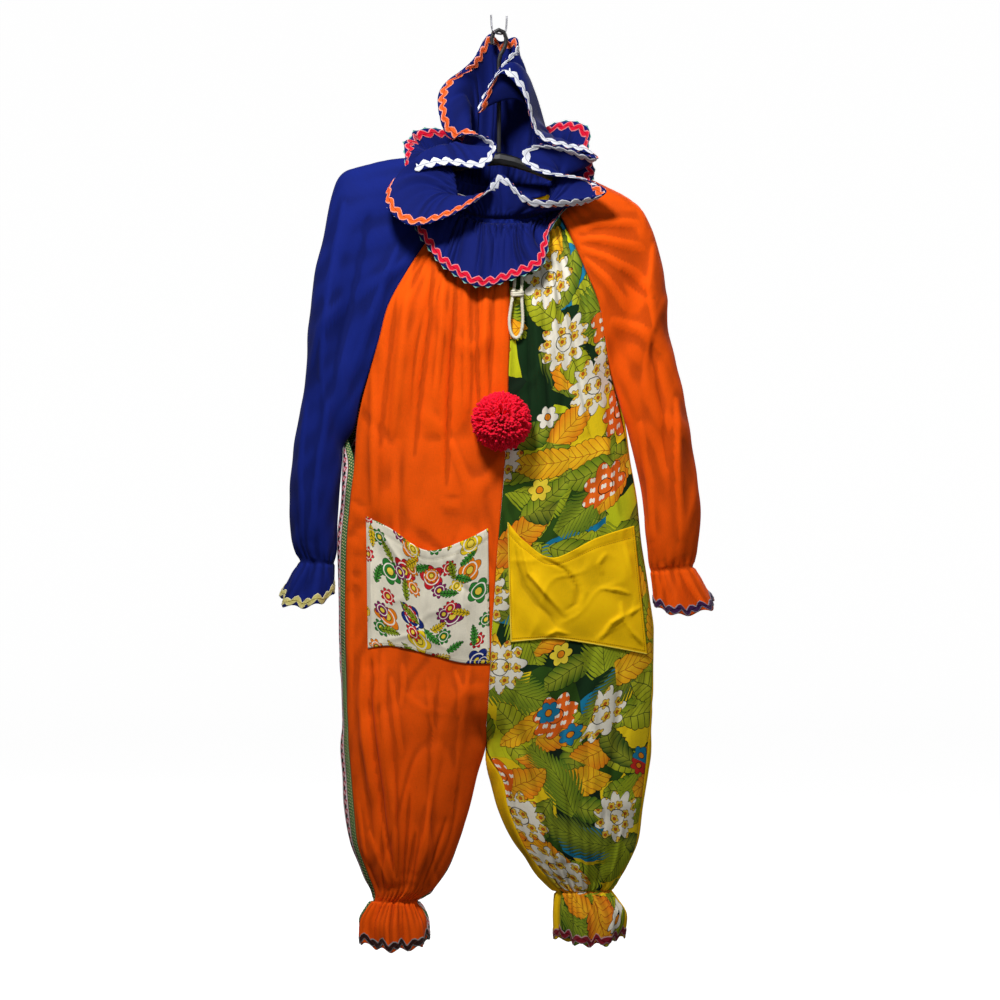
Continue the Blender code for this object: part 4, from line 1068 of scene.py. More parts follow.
def sprigs(name):
    """Cream cloth with small scattered flowers and leaves."""
    cloth = Cloth(name)
    colour = srgb(238, 230, 208)
    for shift, scale, radius, petals in (((0.3, 0.7), 19.0, 0.0215, 5.0),
                                         ((1.7, 0.2), 27.0, 0.0135, 8.0)):
        _, x, y, numbers = cloth.scattered(shift, scale, 0.7)
        inside, lines, out = blossom(cloth, x, y, radius, petals, 0.0009)
        bright = cloth.ramp(numbers[0], (0.0, 206, 30, 40), (0.2, 26, 44, 120),
                            (0.4, 236, 128, 20), (0.58, 240, 206, 30), (0.76, 46, 128, 50),
                            (0.9, 130, 30, 90))
        paint = cloth.mix(out < 0.32, bright, srgb(244, 214, 70))
        paint = cloth.mix((out > 0.52) * (out < 0.62), paint, srgb(244, 238, 224))
        colour = cloth.mix(inside * (numbers[2] < 0.72), colour, cloth.mix(lines, paint, INK))
    _, x, y, numbers = cloth.scattered((2.9, 1.3), 25.0, 0.8)
    inside, vein, rim, _ = feather(x, y, 0.020, 0.0075, 0.006, 0.8, 0.5, 0.0008)
    sprig = cloth.ramp(numbers[0], (0.0, 62, 140, 48), (0.5, 140, 160, 30),
                       (0.8, 232, 196, 30))
    colour = cloth.mix(inside * (numbers[2] < 0.7), colour,
                       cloth.mix(vein.max(rim), sprig, INK))
    # fade 0.3: less wear on the ridges and less painted shade in the creases than the plain cottons
    return cloth.finish(colour, fade=0.3)


def calico(name, stripe=0.033, pitch=0.0153, fine=0.0052):
    """Striped patchwork print: a green stripe with pale dots, and dots with squares between."""
    cloth = Cloth(name)
    band = (cloth.u / stripe).frac() * stripe
    middle = band - 0.0185

    def apart(spacing, start):
        """How far along the cloth the nearest of evenly spaced motifs is."""
        return ((cloth.v / spacing + start).frac() - 0.5) * spacing

    def distance(aside, along):
        return (aside * aside + along * along).root()

    colour = cloth.mix((cloth.v * 1200.0).sin() * 0.3 + 0.3, srgb(238, 226, 222),
                       srgb(224, 178, 186))
    square = middle.abs() + apart(pitch, 0.5).abs()
    colour = cloth.mix(square < 0.0062, colour, srgb(206, 74, 96))
    colour = cloth.mix(square < 0.0028, colour, srgb(236, 206, 206))
    colour = cloth.mix(distance(middle, apart(pitch, 0.0)) < 0.0036, colour, srgb(28, 24, 30))
    colour = cloth.mix((band < 0.0105).max(band > 0.0300), colour, srgb(56, 104, 60))
    for row, start in ((0.0020, 0.0), (0.0052, 0.5), (0.0084, 0.0)):
        spot = distance(band - row, apart(fine, start))
        colour = cloth.mix(spot < 0.0010, colour, srgb(226, 214, 150))
    edges = ((band - 0.0108).abs() < 0.0005).max((band - 0.0300).abs() < 0.0005)
    # fade 0.3: less wear on the ridges and less painted shade in the creases than the plain cottons
    return cloth.finish(cloth.mix(edges, colour, srgb(120, 40, 56)), fade=0.3)


def braided(name, colour, shade=0.35):
    """Woven braid: lighter corded edges and a ribbed middle."""
    cloth = Cloth(name, sheen=0.2)
    rib = ((cloth.u + cloth.v.abs() * 0.6) * (2 * pi / 0.0016)).sin() * 0.5 + 0.5
    tone = cloth.mix(rib * shade, colour, (*[c * 0.45 for c in colour[:3]], 1))
    edge = cloth.step(cloth.v.abs(), 0.0028, 0.0042, "SMOOTHSTEP")
    tone = cloth.mix(edge * 0.25, tone, (1, 1, 1, 1))
    return cloth.finish(tone, pitch=0.0011, weave=0.6, fade=0.0, extra=rib * 1.5)


def grained(name, grain, specular):
    """A material without cloth, and a grain over the object."""
    solid = Cloth(name, sheen=0.0, specular=specular)
    where = solid.node("TexCoord").outputs["Object"]
    return solid, where, solid.noise(where, grain[0], grain[1])


def plastic(name, colour, roughness):
    """Moulded plastic with a fine satin grain."""
    solid, where, grain = grained(name, (900.0, 2.0), 0.5)
    cloud = solid.noise(where, 30.0, 3.0)
    solid.set("Base Color", solid.mix(cloud * 0.4, (*colour, 1),
                                      (*[c * 1.8 + 0.004 for c in colour], 1)))
    solid.set("Roughness", cloud * 0.2 + roughness)
    solid.bump(grain, 0.15)
    return solid.material


def wire_metal(name):
    """Drawn grey wire."""
    solid, _, streak = grained(name, (260.0, 3.0), 0.1)
    solid.set("Base Color", solid.mix(streak, srgb(150, 150, 156), srgb(190, 190, 196)))
    solid.set("Metallic", 1.0)
    solid.set("Roughness", streak * 0.2 + 0.25)
    return solid.material


# ---------------------------------------------------------------- cloth in detail
def as_array(grid):
    """A grid of points as numbers."""
    return np.array([[tuple(point) for point in line] for line in grid])


def normals_of(grid, closed):
    """Unit normals of a grid of points."""
    if closed:
        across = np.roll(grid, -1, axis=1) - np.roll(grid, 1, axis=1)
    else:
        across = np.gradient(grid, axis=1)
    along = np.gradient(grid, axis=0)
    result = np.cross(along, across)
    return result / np.maximum(np.linalg.norm(result, axis=2, keepdims=True), 1e-9)


def waves(x, y, length, seed, count=14, stretch=1.0):
    """Smooth uneven waves of about the given length; stretch makes them longer along y."""
    source = np.random.RandomState(seed)
    total = np.zeros_like(x)
    for _ in range(count):
        turn, phase = source.uniform(0, 2 * pi), source.uniform(0, 2 * pi)
        pace = 2 * pi / (length * source.uniform(0.7, 1.5))
        total += np.sin(pace * (x * cos(turn) + y * sin(turn) / stretch) + phase)
    return total / np.sqrt(count / 2)


def crumple(x, y, length, seed, stretch=1.0):
    """Thin soft ridges that wander over the cloth, from 0 to 1."""
    return np.exp(-(np.abs(waves(x, y, length, seed, 10, stretch)) / 0.32) ** 2)


def crease(x, z, width, height, lean, *route):
    """A fold along a line of points: its height over the cloth, fading at its ends."""
    points = list(zip(route[::2], route[1::2]))
    best = np.full(x.shape, 1e9)
    place, hand = np.zeros_like(x), np.zeros_like(x)
    lengths = [0.0]
    for a, b in zip(points, points[1:]):
        lengths.append(lengths[-1] + ((b[0] - a[0]) ** 2 + (b[1] - a[1]) ** 2) ** 0.5)
    for k, (a, b) in enumerate(zip(points, points[1:])):
        run = (b[0] - a[0], b[1] - a[1])
        size = run[0] ** 2 + run[1] ** 2
        share = np.clip(((x - a[0]) * run[0] + (z - a[1]) * run[1]) / size, 0, 1)
        dx, dz = x - a[0] - share * run[0], z - a[1] - share * run[1]
        away = np.hypot(dx, dz)
        nearer = away < best
        best = np.where(nearer, away, best)
        place = np.where(nearer, (lengths[k] + share * size**0.5) / lengths[-1], place)
        hand = np.where(nearer, np.sign(run[0] * dz - run[1] * dx), hand)
    taper = np.sin(pi * np.clip(place, 0.0, 1.0)) ** 0.7
    breadth = width * (0.55 + 0.45 * taper) * (1 + lean * hand)
    return height * taper * np.exp(-(best / breadth) ** 1.35)


def creases(x, z, folds):
    """The height that a table of folds adds to cloth at x and z."""
    return sum((crease(x, z, *fold) for fold in folds), np.zeros_like(x))


def lengths_along(grid, axis):
    """Cloth coordinates of a grid along one way, in metres."""
    step = np.linalg.norm(np.diff(grid, axis=axis), axis=2) * MM
    pad = [(0, 0), (0, 0)]
    pad[axis] = (1, 0)
    return np.cumsum(np.pad(step, pad), axis=axis)


def walked(points):
    """How far along a line of points each of them lies."""
    return np.concatenate([[0.0], np.cumsum(np.linalg.norm(np.diff(points, axis=0), axis=1))])


def piece(name, points, faces, material, uv, ridge=None):
    """A smooth piece on root, from points in metres and the cloth's coordinates at the corners of
    its faces."""
    mesh = bpy.data.meshes.new(name)
    mesh.from_pydata(points, [], faces)
    layer = mesh.uv_layers.new(name="Cloth")
    layer.data.foreach_set("uv", np.array(uv, dtype=np.float32).ravel())
    # the ridge attribute: the materials lighten ridges with it as wear and darken creases with it as painted shade
    wear_and_crease_shade = mesh.attributes.new("ridge", "FLOAT", "POINT")
    if ridge is not None:
        wear_and_crease_shade.data.foreach_set("value", ridge.ravel().astype(np.float32))
    mesh.materials.append(material)
    mesh.shade_smooth()
    item = linked(name, mesh)
    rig.ride(item, "root")
    return item


def linked(name, data):
    """A new object in the scene."""
    item = bpy.data.objects.new(name, data)
    bpy.context.scene.collection.objects.link(item)
    return item


def cloth_piece(name, grid, material, ridge, closed=False, uv=None):
    """A shell of cloth over a grid of points."""
    rows, columns = grid.shape[:2]
    u, v = uv if uv is not None else (lengths_along(grid, 1), lengths_along(grid, 0))
    index = np.arange(rows * columns).reshape(rows, columns)
    right, u_right, v_right = (np.roll(values, -1, axis=1) for values in (index, u, v))
    spans = columns if closed else columns - 1
    if closed:
        width = float(np.linalg.norm(grid[:, 0] - grid[:, -1], axis=1).mean()) * MM
        u_right[:, -1] = u[:, -1] + width

    def corners(here, next_to):
        """The values at the four corners of each face."""
        return np.stack([here[:-1, :spans], next_to[:-1, :spans], next_to[1:, :spans],
                         here[1:, :spans]], axis=-1)

    item = piece(name, (grid.reshape(-1, 3) * MM).tolist(),
                 corners(index, right).reshape(-1, 4).tolist(), material,
                 np.stack([corners(u, u_right), corners(v, v_right)], -1), ridge)
    solid = item.modifiers.new("thickness", "SOLIDIFY")
    solid.thickness = SHELL * MM
    solid.offset = 0.0
    solid.use_rim = True
    return item


def raise_cloth(grid, height, closed=False):
    """The grid with its points moved out by a height, and how much each is a ridge."""
    lifted = grid + normals_of(grid, closed) * height[..., None]
    around = sum(np.roll(np.roll(height, i, 0), j, 1)
                 for i in (-2, 0, 2) for j in (-2, 0, 2)) / 9
    return lifted, np.clip((height - around) / 0.5, -1, 1)


def edge_fade(share, reach=0.05):
    """1 in the middle, falling to 0 at both sides."""
    return np.clip(np.minimum(share, 1 - share) / reach, 0, 1) ** 0.7


def gathers(share, row, seed, count, reach, height, rows_long):
    """Uneven little pleats that start at row 0 and fade along the cloth."""
    source = np.random.RandomState(seed)
    total = np.zeros_like(share)
    for k in range(count):
        centre = (k + 0.5 + source.uniform(-0.3, 0.3)) / count
        drift = source.uniform(-0.02, 0.02)
        span = rows_long * source.uniform(0.35, 1.0)
        breadth = reach * source.uniform(0.7, 1.2) / count
        down = np.clip(row / span, 0, 1)
        aside = share - centre - drift * down
        total += (height * source.uniform(0.5, 1.1) * (1 - down) ** 1.3
                  * np.exp(-(aside / (breadth * (1 + down))) ** 2))
    return total


def cuff_gathers(share, row, cuff, seed, plans):
    """The small gathers under the neck, then above a cuff's casing and below it."""
    above, below = np.clip(cuff - row, 0, 9), np.clip(row - cuff, 0, 9)
    for k, (place, there) in enumerate(((row, 1.0), (above, row < cuff), (below, row > cuff))):
        *plan, rising = plans[k]
        yield gathers(share, place, seed + k, *plan) * np.clip(place / rising, 0, 1) * there


def detailed(kind, grid, height, row, share, across, seed):
    """The grid raised by a height and its fine detail, and how much each place is a ridge or a crease, which the
    colour turns into wear on ridges and painted shade in creases.
    """
    cuff, plans, wavy, crumpled, (rising, hem_height, count) = DETAIL[kind]
    z = grid[..., 2]
    for layer in cuff_gathers(share, row, cuff, seed, plans):
        height += layer
    for k, (length, stretch, size) in enumerate(wavy):
        height += waves(across, z, length, seed + 3 + k, stretch=stretch) * size
    for k, (length, stretch, size) in enumerate(crumpled):
        height += crumple(across, z, length, seed + 5 + k, stretch) * size
    height *= edge_fade(share)
    grid, ridge = raise_cloth(grid, height)
    frill = np.clip(np.clip(row - cuff, 0, 9) / rising, 0, 1)
    grid[..., 2] += frill * edge_fade(share) * hem_height * np.sin(
        2 * pi * count * share + seed)
    return grid, ridge


def panel_cloth(side, face, material):
    """One body and leg panel with its gathers, folds and creases."""
    name = f"{face}_{side}"
    tall, wide = PANEL_GRID[face]
    rows = np.linspace(0.0, LAST_ROW, tall + 1)
    grid = as_array([panel_line(side, face, float(row), wide) for row in rows])
    if (face == "front") != (side == "right"):
        grid = grid[:, ::-1]
    row, share = np.meshgrid(rows, np.linspace(0, 1, wide + 1), indexing="ij")
    x, z = grid[..., 0], grid[..., 2]
    height = creases(x, z, CREASES[name])
    grid, ridge = detailed("panel", grid, height, row, share, x, SEEDS[name])
    u, v = lengths_along(grid, 1), lengths_along(grid, 0)
    uv = (u[:, -1:] - u, v) if name == "back_right" else (u, v)
    return cloth_piece(f"cloth_{name}", grid, material, ridge, uv=uv), grid


def sleeve_cloth(side, material):
    """One raglan sleeve with its folds and its wrist frill."""
    tall, wide = SLEEVE_GRID
    rows = np.linspace(0.0, len(SLEEVE_ROWS[side]) - 1, tall + 1)
    grid = as_array([sleeve_line(side, float(row), wide) for row in rows])
    row, share = np.meshgrid(rows, np.linspace(0, 1, wide + 1), indexing="ij")
    if side == "right":
        grid, share = grid[:, ::-1], 1 - share
    x, z = grid[..., 0], grid[..., 2]
    front = np.clip((0.56 - share) / 0.12, 0, 1)
    height = creases(x, z, SLEEVE_FOLDS[side]) * (2.1 * front)
    height += creases(x + 6 * AWAY[side], z - 22, SLEEVE_FOLDS[side]) * (1 - front)
    grid, ridge = detailed("sleeve", grid, height, row, share, share * SLEEVE_SHARE,
                           SEEDS[f"sleeve_{side}"])
    return cloth_piece(f"cloth_sleeve_{side}", grid, material, ridge), grid


def uneven(around, count, seed):
    """Waves round a ring whose lengths and heights differ."""
    source = np.random.RandomState(seed)
    warp = sum(source.uniform(0.4, 1.0) * np.sin(k * around + source.uniform(0, 6))
               for k in (3, 5, 8, 13, 21))
    size = sum(source.uniform(0.1, 0.25) * np.sin(k * around + source.uniform(0, 6))
               for k in (4, 9, 15))
    return np.sin(around * count + 1.5 * warp) * (0.75 + size)


def curl_hem(grid, table, start):
    """The grid with its last rows rolled towards the inner side."""
    rows, columns = grid.shape[:2]
    turn = np.arange(columns) * 360.0 / columns
    angle = np.radians(np.interp(turn, *zip(*table)))
    first = round(start * (rows - 1))
    axis = np.roll(grid[first], -1, 0) - np.roll(grid[first], 1, 0)
    axis /= np.linalg.norm(axis, axis=1, keepdims=True)
    steps = np.diff(grid, axis=0)
    rolled = grid.copy()
    for k in range(first, rows - 1):
        share = (k - first + 1) / (rows - 1 - first)
        bend = (angle * share)[:, None]
        run = steps[k] * np.cos(bend) + np.cross(axis, steps[k]) * np.sin(bend)
        rolled[k + 1] = rolled[k] + run
    return rolled


def ruffle_cloth(name, table, columns, down, foot, away, start_up, start_out, wave, count,
                 material, pucker, fold, curl=None):
    """A ruffle with its folds, from the casing to its free edge. foot and away are where it
    starts on the casing, start_up and start_out how it leaves it; wave and count are its pleats,
    pucker and fold the heights of its gathers and of its uneven folds."""
    ring = neck_ring(columns)
    extended = [(table[-1][0] - 360.0, *table[-1][1:])] + table + [
        (360.0 + row[0], *row[1:]) for row in table[:2]]
    lines = []
    for i in range(columns):
        turn = 360.0 * i / columns
        k = 1
        while extended[k + 1][0] <= turn:
            k += 1
        share = (turn - extended[k][0]) / (extended[k + 1][0] - extended[k][0])
        values = curve_value(extended, k + share)
        edge, middle = Vector(values[1:4]), Vector(values[4:7])
        outward, upward = ring_outward(ring, i), ring_upward(columns, i)
        base = ring[i] + outward * away + upward * foot
        first = base + outward * start_out + upward * start_up
        lead = middle * 2 - (first + edge) / 2
        fine = [first * (1 - v) ** 2 + lead * (2 * v * (1 - v)) + edge * v**2
                for v in (step / 40 for step in range(41))]
        across = [base] + spread(fine, down - 1)
        swing = outward * (wave * sin(2 * pi * count * i / columns))
        lines.append([point + swing * (0.8 * (v / down) ** 2)
                      for v, point in enumerate(across)])
    grid = as_array(lines).transpose(1, 0, 2)
    if curl is not None:
        grid = curl_hem(grid, curl, 0.72)
    v, around = np.meshgrid(np.linspace(0, 1, down + 1),
                            np.arange(columns) / columns * 2 * pi, indexing="ij")
    height = (uneven(around, 62, 7) + 0.6 * uneven(around + v * 0.5, 101, 3)) * np.exp(
        -(v / 0.2) ** 2) * np.clip(v / 0.05, 0, 1) * pucker
    height += (0.7 - np.abs(uneven(around + v * 0.06, 13, 8))) * 1.7 * np.sin(
        pi * np.clip(v * 1.1, 0, 1)) ** 0.8 * fold
    height += uneven(around + v * 0.12, 37, 9) * np.sin(pi * v) * fold * 0.35
    grid, ridge = raise_cloth(grid, height, closed=True)
    # the fold tops are lightened as wear and the fold hollows are darkened as painted shade, by way of the ridge
    # attribute
    ridge = np.clip(ridge + 0.9 * height / fold, -1, 1)
    return cloth_piece(name, grid, material, ridge, closed=True), grid


def casing_cloth(material, columns=360, rows=8, pleats=52):
    """The gathered casing on the neckline."""
    ring = neck_ring(columns)
    grid = as_array([[point + ring_upward(columns, i) * share for i, point in enumerate(ring)]
                     for share in np.linspace(0.0, 1.06, rows)])
    v, around = np.meshgrid(np.linspace(0, 1, rows), np.arange(columns) / columns * 2 * pi,
                            indexing="ij")
    height = np.sin(around * pleats + 2.2 * np.sin(around * 9)) * 0.8 * np.sin(pi * v) ** 0.5
    grid, ridge = raise_cloth(grid, height, closed=True)
    return cloth_piece("cloth_neck_casing", grid, material, ridge, closed=True)


# ---------------------------------------------------------------- yarn, thread and braid
def yarn_tube(points, radius, sides, taper=True):
    """Points and faces of a yarn along some points, with a rounded tip."""
    last = len(points) - 1
    verts, faces = [], []
    for i, centre in enumerate(points):
        ahead = (points[min(i + 1, last)] - points[max(i - 1, 0)]).normalized()
        first = ahead.cross(Vector((0.31, 0.52, 0.79))).normalized()
        second = ahead.cross(first)
        size = radius * (0.55 if taper and i == last else 1.0)
        for turn in (2 * pi * j / sides for j in range(sides)):
            verts.append(centre + first * (size * cos(turn)) + second * (size * sin(turn)))
    for i in range(last):
        for j in range(sides):
            k = (j + 1) % sides
            faces.append((i * sides + j, i * sides + k, (i + 1) * sides + k, (i + 1) * sides + j))
    faces.append(tuple(last * sides + j for j in range(sides)))
    return verts, faces


def yarn_uv(faces, sides, across=0.0015, along=0.003, start=0.0):
    """The cloth's coordinates at the corners of a yarn's faces."""
    return [((i % sides) * across + start, (i // sides) * along) for face in faces for i in face]


def yarn_piece(name, verts, faces, material, uv):
    """A piece of yarn from points in millimetres."""
    return piece(name, [tuple(v * MM) for v in verts], faces, material, uv)


def cord_along(name, points, radius, sides, material, taper=True):
    """A single round cord along some points."""
    verts, faces = yarn_tube([Vector(point) for point in points], radius, sides, taper)
    return yarn_piece(name, verts, faces, material, yarn_uv(faces, sides))


def join(verts, faces, ring, quads):
    """Adds the points and faces of one more yarn."""
    start = len(verts)
    verts += ring
    faces += [tuple(start + i for i in face) for face in quads]


def ribbon(name, edge, inner, normals, braid, closed, facing, centre=8.5, shift=0.0, swing=3.9,
           breadth=10.0, period=21.0, lift=0.9, thick=0.8):
    """A rickrack braid that zigzags along an edge of cloth, and its thread line. braid has the
    two materials, facing is its side of the cloth, centre how far in from the edge it lies."""
    ends = np.vstack([edge, edge[:1]]) if closed else edge
    places = walked(ends)
    total = places[-1]
    inward = inner - edge
    inward /= np.maximum(np.linalg.norm(inward, axis=1, keepdims=True), 1e-9)
    if closed:
        inward, normals = np.vstack([inward, inward[:1]]), np.vstack([normals, normals[:1]])

    def sample(values, place):
        place = np.mod(place, total) if closed else np.clip(place, 0, total)
        return np.stack([np.interp(place, places, values[:, k]) for k in range(3)], -1)

    turns = max(2, round(total / period))
    steps = turns * 8
    t = np.arange(steps + (0 if closed else 1)) / steps
    phase = 2 * pi * (turns * t + shift)
    middle = centre + swing * (np.sin(phase) - np.sin(3 * phase) / 14)
    slope = swing * np.cos(phase) * 2 * pi * turns / total
    size = np.hypot(1.0, slope)
    section = ((-1.0, 0.0), (-0.9, 1.0), (-0.62, 1.0), (0.0, 0.75), (0.62, 1.0), (0.9, 1.0),
               (1.0, 0.0))
    rings = []
    for across, up in section:
        offset = across * breadth / 2
        place = total * t - slope / size * offset
        point = sample(ends, place) + sample(inward, place) * (middle + offset / size)[:, None]
        rings.append(point + sample(normals, place) * (facing * (lift + thick * up)))
    grid = np.stack(rings, 1)
    rows, columns = grid.shape[:2]
    faces, uv = [], []
    run = total * t * MM
    aside = [across * breadth / 2 * MM for across, _ in section]
    for i in range(rows if closed else rows - 1):
        k = (i + 1) % rows
        ahead = run[i] + (total / steps) * MM
        for j in range(columns):
            m = (j + 1) % columns
            faces.append((i * columns + j, k * columns + j, k * columns + m, i * columns + m))
            uv += [(run[i], aside[j]), (ahead, aside[j]), (ahead, aside[m]), (run[i], aside[m])]
    if not closed:
        faces += [tuple(range(columns)), tuple(range((rows - 1) * columns, rows * columns))[::-1]]
        uv += [(0.0, place) for place in aside] * 2
    item = piece(name, (grid.reshape(-1, 3) * MM).tolist(), faces, braid[0], uv)
    item.data.set_sharp_from_angle(angle=radians(60))
    line = sample(ends, total * t) + sample(inward, total * t) * centre
    line += sample(normals, total * t) * (facing * (lift + thick))
    cord_along(f"thread_{name}", line, 0.45, 4, braid[1], taper=False)
    return item


def hem_lines(grid, closed=False):
    """The free edge of a cloth, a line further in, and the normals at the edge."""
    gap = np.linalg.norm(grid[-1] - grid[-2], axis=1).mean()
    return grid[-1], grid[-1 - max(2, round(16 / gap))], normals_of(grid, closed)[-1]


def edge_ribbon(name, grid, braid, closed, facing, **settings):
    """A braid along the free edge of a cloth."""
    return ribbon(name, *hem_lines(grid, closed), braid, closed, facing, **settings)


def ankle_ribbon(name, front, back, braid):
    """A braid round an ankle frill, over the front and the back panel."""
    lines = (np.vstack(pair) for pair in zip(hem_lines(front), hem_lines(back)))
    return ribbon(name, *lines, braid, True, 1)


def panel_surface(grid):
    """The panel's depth at places of x and z, read off its grid of points."""
    levels = grid[:, grid.shape[1] // 2, 2]

    def depth(x, z):
        rows = np.clip(np.interp(-z, -levels, np.arange(len(levels))), 0, len(levels) - 1.001)
        result = np.zeros_like(x)
        for place in np.ndindex(x.shape):
            r = int(rows[place])
            share = rows[place] - r
            values = []
            for line in (grid[r], grid[r + 1]):
                order = line if line[0, 0] < line[-1, 0] else line[::-1]
                values.append(np.interp(x[place], order[:, 0], order[:, 1]))
            result[place] = values[0] * (1 - share) + values[1] * share
        return result

    return depth


def smoothed(values, rounds):
    """Values of a grid with their bumps eased."""
    for _ in range(rounds):
        padded = np.pad(values, 1, mode="edge")
        values = (padded[:-2, 1:-1] + padded[2:, 1:-1] + padded[1:-1, :-2] + padded[1:-1, 2:]
                  + 4 * padded[1:-1, 1:-1]) / 8
    return values


def stitches(name, points, normals, material, pitch=3.6, size=2.5, radius=0.42, sides=5):
    """A row of thread stitches on the cloth along some points."""
    places = walked(points)
    verts, faces = [], []
    for k in range(int(places[-1] / pitch)):
        stem = []
        for share, lift in ((0.0, 0.35), (0.25, 0.75), (0.75, 0.75), (1.0, 0.35)):
            place = (k + 0.2) * pitch + size * share
            point, normal = (Vector([np.interp(place, places, values[:, i]) for i in range(3)])
                             for values in (points, normals))
            stem.append(point + normal * lift)
        join(verts, faces, *yarn_tube(stem, radius, sides))
    uv = [(0.0015 * (i % sides), 0.001 * i) for face in faces for i in face]
    return yarn_piece(name, verts, faces, material, uv)


def pocket_cloth(side, material, surface, count=80):
    """A patch pocket with its hem and creases, laid on its panel."""
    table = POCKET_ROWS[side]
    place = np.linspace(0, 1, count + 1)
    ends = np.array([curve_value(table, u * (len(table) - 1)) for u in place])
    v, u = np.meshgrid(place, place, indexing="ij")
    top_x, top_z, bottom_x, bottom_z, gape = (ends[:, k][None, :] for k in range(5))
    x = top_x + (bottom_x - top_x) * v
    z = top_z + (bottom_z - top_z) * v
    y = smoothed(surface(x, z), 12)
    y = np.minimum(y, surface(x, z) + 0.6)
    height = CLOTH + LAID_ON + gape * (1 - v) ** 3
    height = height + 4.0 * np.sin(pi * v) ** 0.8 * np.sin(pi * u) ** 0.5
    inside = np.clip(np.minimum(np.minimum(u, 1 - u), 1 - v) / 0.06, 0, 1)
    wrinkles = creases(x, z, POCKET_FOLDS[side]) * 1.9
    wrinkles = wrinkles + waves(x, z, 60, 91, stretch=1.2) * 0.8 + crumple(x, z, 95, 92) * 1.2
    height = height + np.maximum(wrinkles, -3.4) * inside
    away = np.minimum(np.minimum(u, 1 - u), np.minimum(v, 1 - v))
    height = height - 0.9 * np.exp(-((v - HEM_SHARE) / 0.014) ** 2)
    grid = np.stack([x, y - height, z], -1)
    # ridge: the wrinkles' troughs are darkened as painted shade; their tops are lightened as wear, and the pocket's
    # rim is lightened
    ridge = np.clip(wrinkles / 3.0, -1, 1) + np.exp(-(away / 0.012) ** 2) * 0.5
    way = -1 if side == "left" else 1
    return cloth_piece(f"cloth_pocket_{side}", grid[:, ::way], material, ridge[:, ::way]), grid


def pocket_seams(grid, inset=2):
    """Cells of a pocket's grid along its stitched edge, and along its hem."""
    far = grid.shape[1] - 1 - inset
    hem = round(HEM_SHARE * (far + inset))
    edge = [(0, inset)] + [(i, inset) for i in range(1, far)]
    edge += [(far, j) for j in range(inset, far)] + [(i, far) for i in range(far, -1, -1)]
    return (("edge", edge), ("hem", [(hem, j) for j in range(inset, far)]))


def pompom_yarn(material, locks=1350, sides=7):
    """The ball of cut yarn: short bent locks with round tips, standing out round its middle."""
    source = np.random.RandomState(5)
    middle = Vector(POMPOM_CENTRE) + Vector((0, -0.5 * POMPOM_RADIUS, 0))
    verts, faces, uv = [], [], []
    for k in range(locks):
        height = 1 - 2 * (k + 0.5) / locks
        turn = k * pi * (3 - 5 ** 0.5)
        flat = (1 - height * height) ** 0.5
        way = Vector((flat * cos(turn), height, flat * sin(turn)))
        if way.y > 0.42:
            continue
        way = (way + Vector(source.normal(0, 0.035, 3))).normalized()
        bend = Vector(source.uniform(-1, 1, 3))
        bend = (bend - way * bend.dot(way)) * (POMPOM_RADIUS * 0.16)
        loose = max(0.0, -way.z - 0.3 * way.x - 0.25)
        size = POMPOM_RADIUS * (source.uniform(0.93, 1.02) - loose * source.uniform(0, 0.22))
        width = source.uniform(1.9, 2.5)
        points = []
        for share in (0.60, 0.80, 0.90, 0.96, 0.985):
            point = way * (size * share) + bend * share**3
            point.y = min(point.y, 0.5 * POMPOM_RADIUS - 3)
            points.append(point + middle)
        ring, quads = yarn_tube(points, width, sides)
        ahead = points[-1] - points[-2]
        for place, share in ((3, 0.92), (4, 0.55)):
            for i in range(sides * place, sides * place + sides):
                ring[i] = points[place] + (ring[i] - points[place]).normalized() * (width * share)
        ring.append(points[-1] + ahead.normalized() * (width * 0.25))
        tip, last = len(ring) - 1, sides * 4
        quads = quads[:-1] + [(last + j, last + (j + 1) % sides, tip) for j in range(sides)]
        join(verts, faces, ring, quads)
        uv += yarn_uv(quads, sides, 0.002, 0.005, 0.1 * k)
    return yarn_piece("yarn_pompom", verts, faces, material, uv)


def cord_piece(material, strands=3, sides=7):
    """The twisted drawstring loop and its knot."""
    route = smooth_route(DRAWSTRING_ROUTE, 120)
    verts, faces, uv = [], [], []
    count = len(route)
    for strand in range(strands):
        points = []
        for i, point in enumerate(route):
            ahead = (route[min(i + 1, count - 1)] - route[max(i - 1, 0)]).normalized()
            first = ahead.cross(Vector((0, 1, 0))).normalized()
            second = ahead.cross(first)
            turn = 2 * pi * (strand / strands + i / 4.6)
            points.append(point + (first * cos(turn) + second * sin(turn)) * 1.35)
        ring, quads = yarn_tube(points, 1.75, sides, taper=False)
        start = len(verts)
        join(verts, faces, ring, quads)
        faces.append(tuple(start + i for i in range(sides))[::-1])
        uv += yarn_uv(quads, sides) + [(0.0, 0.0)] * sides
    item = yarn_piece("cord_drawstring", verts, faces, material, uv)
    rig.replaces(item, "drawstring")
    near = [min(half, key=lambda point: abs(point.z - KNOT_LEVEL))
            for half in (route[: count // 2], route[count // 2:])]
    middle = (near[0] + near[1]) / 2
    reach = (near[0] - near[1]).length / 2 + 2.6
    turns = [middle + Vector((cos(a) * reach, sin(a) * 5.4, 0.55 * a - 5.0 + 1.2 * sin(a)))
             for a in (2 * pi * i / 16 for i in range(44))]
    knot = cord_along("cord_knot", turns, 2.1, 8, material)
    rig.slot(knot, "cream_cord")
    path = [tuple(point * MM) for point in route]
    length = sum((b - a).length for a, b in zip(route, route[1:])) * MM
    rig.cord(item, exit=path[0], length=round(length, 3), diameter=CORD_DIAMETER * MM,
            far_end="object", stiffness="limp", lay="hanging", path=path, with_pieces=[knot])


# ---------------------------------------------------------------- build
def dress(item, slot, node=None):
    if node is not None:
        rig.replaces(item, node)
    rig.slot(item, slot)
    return item


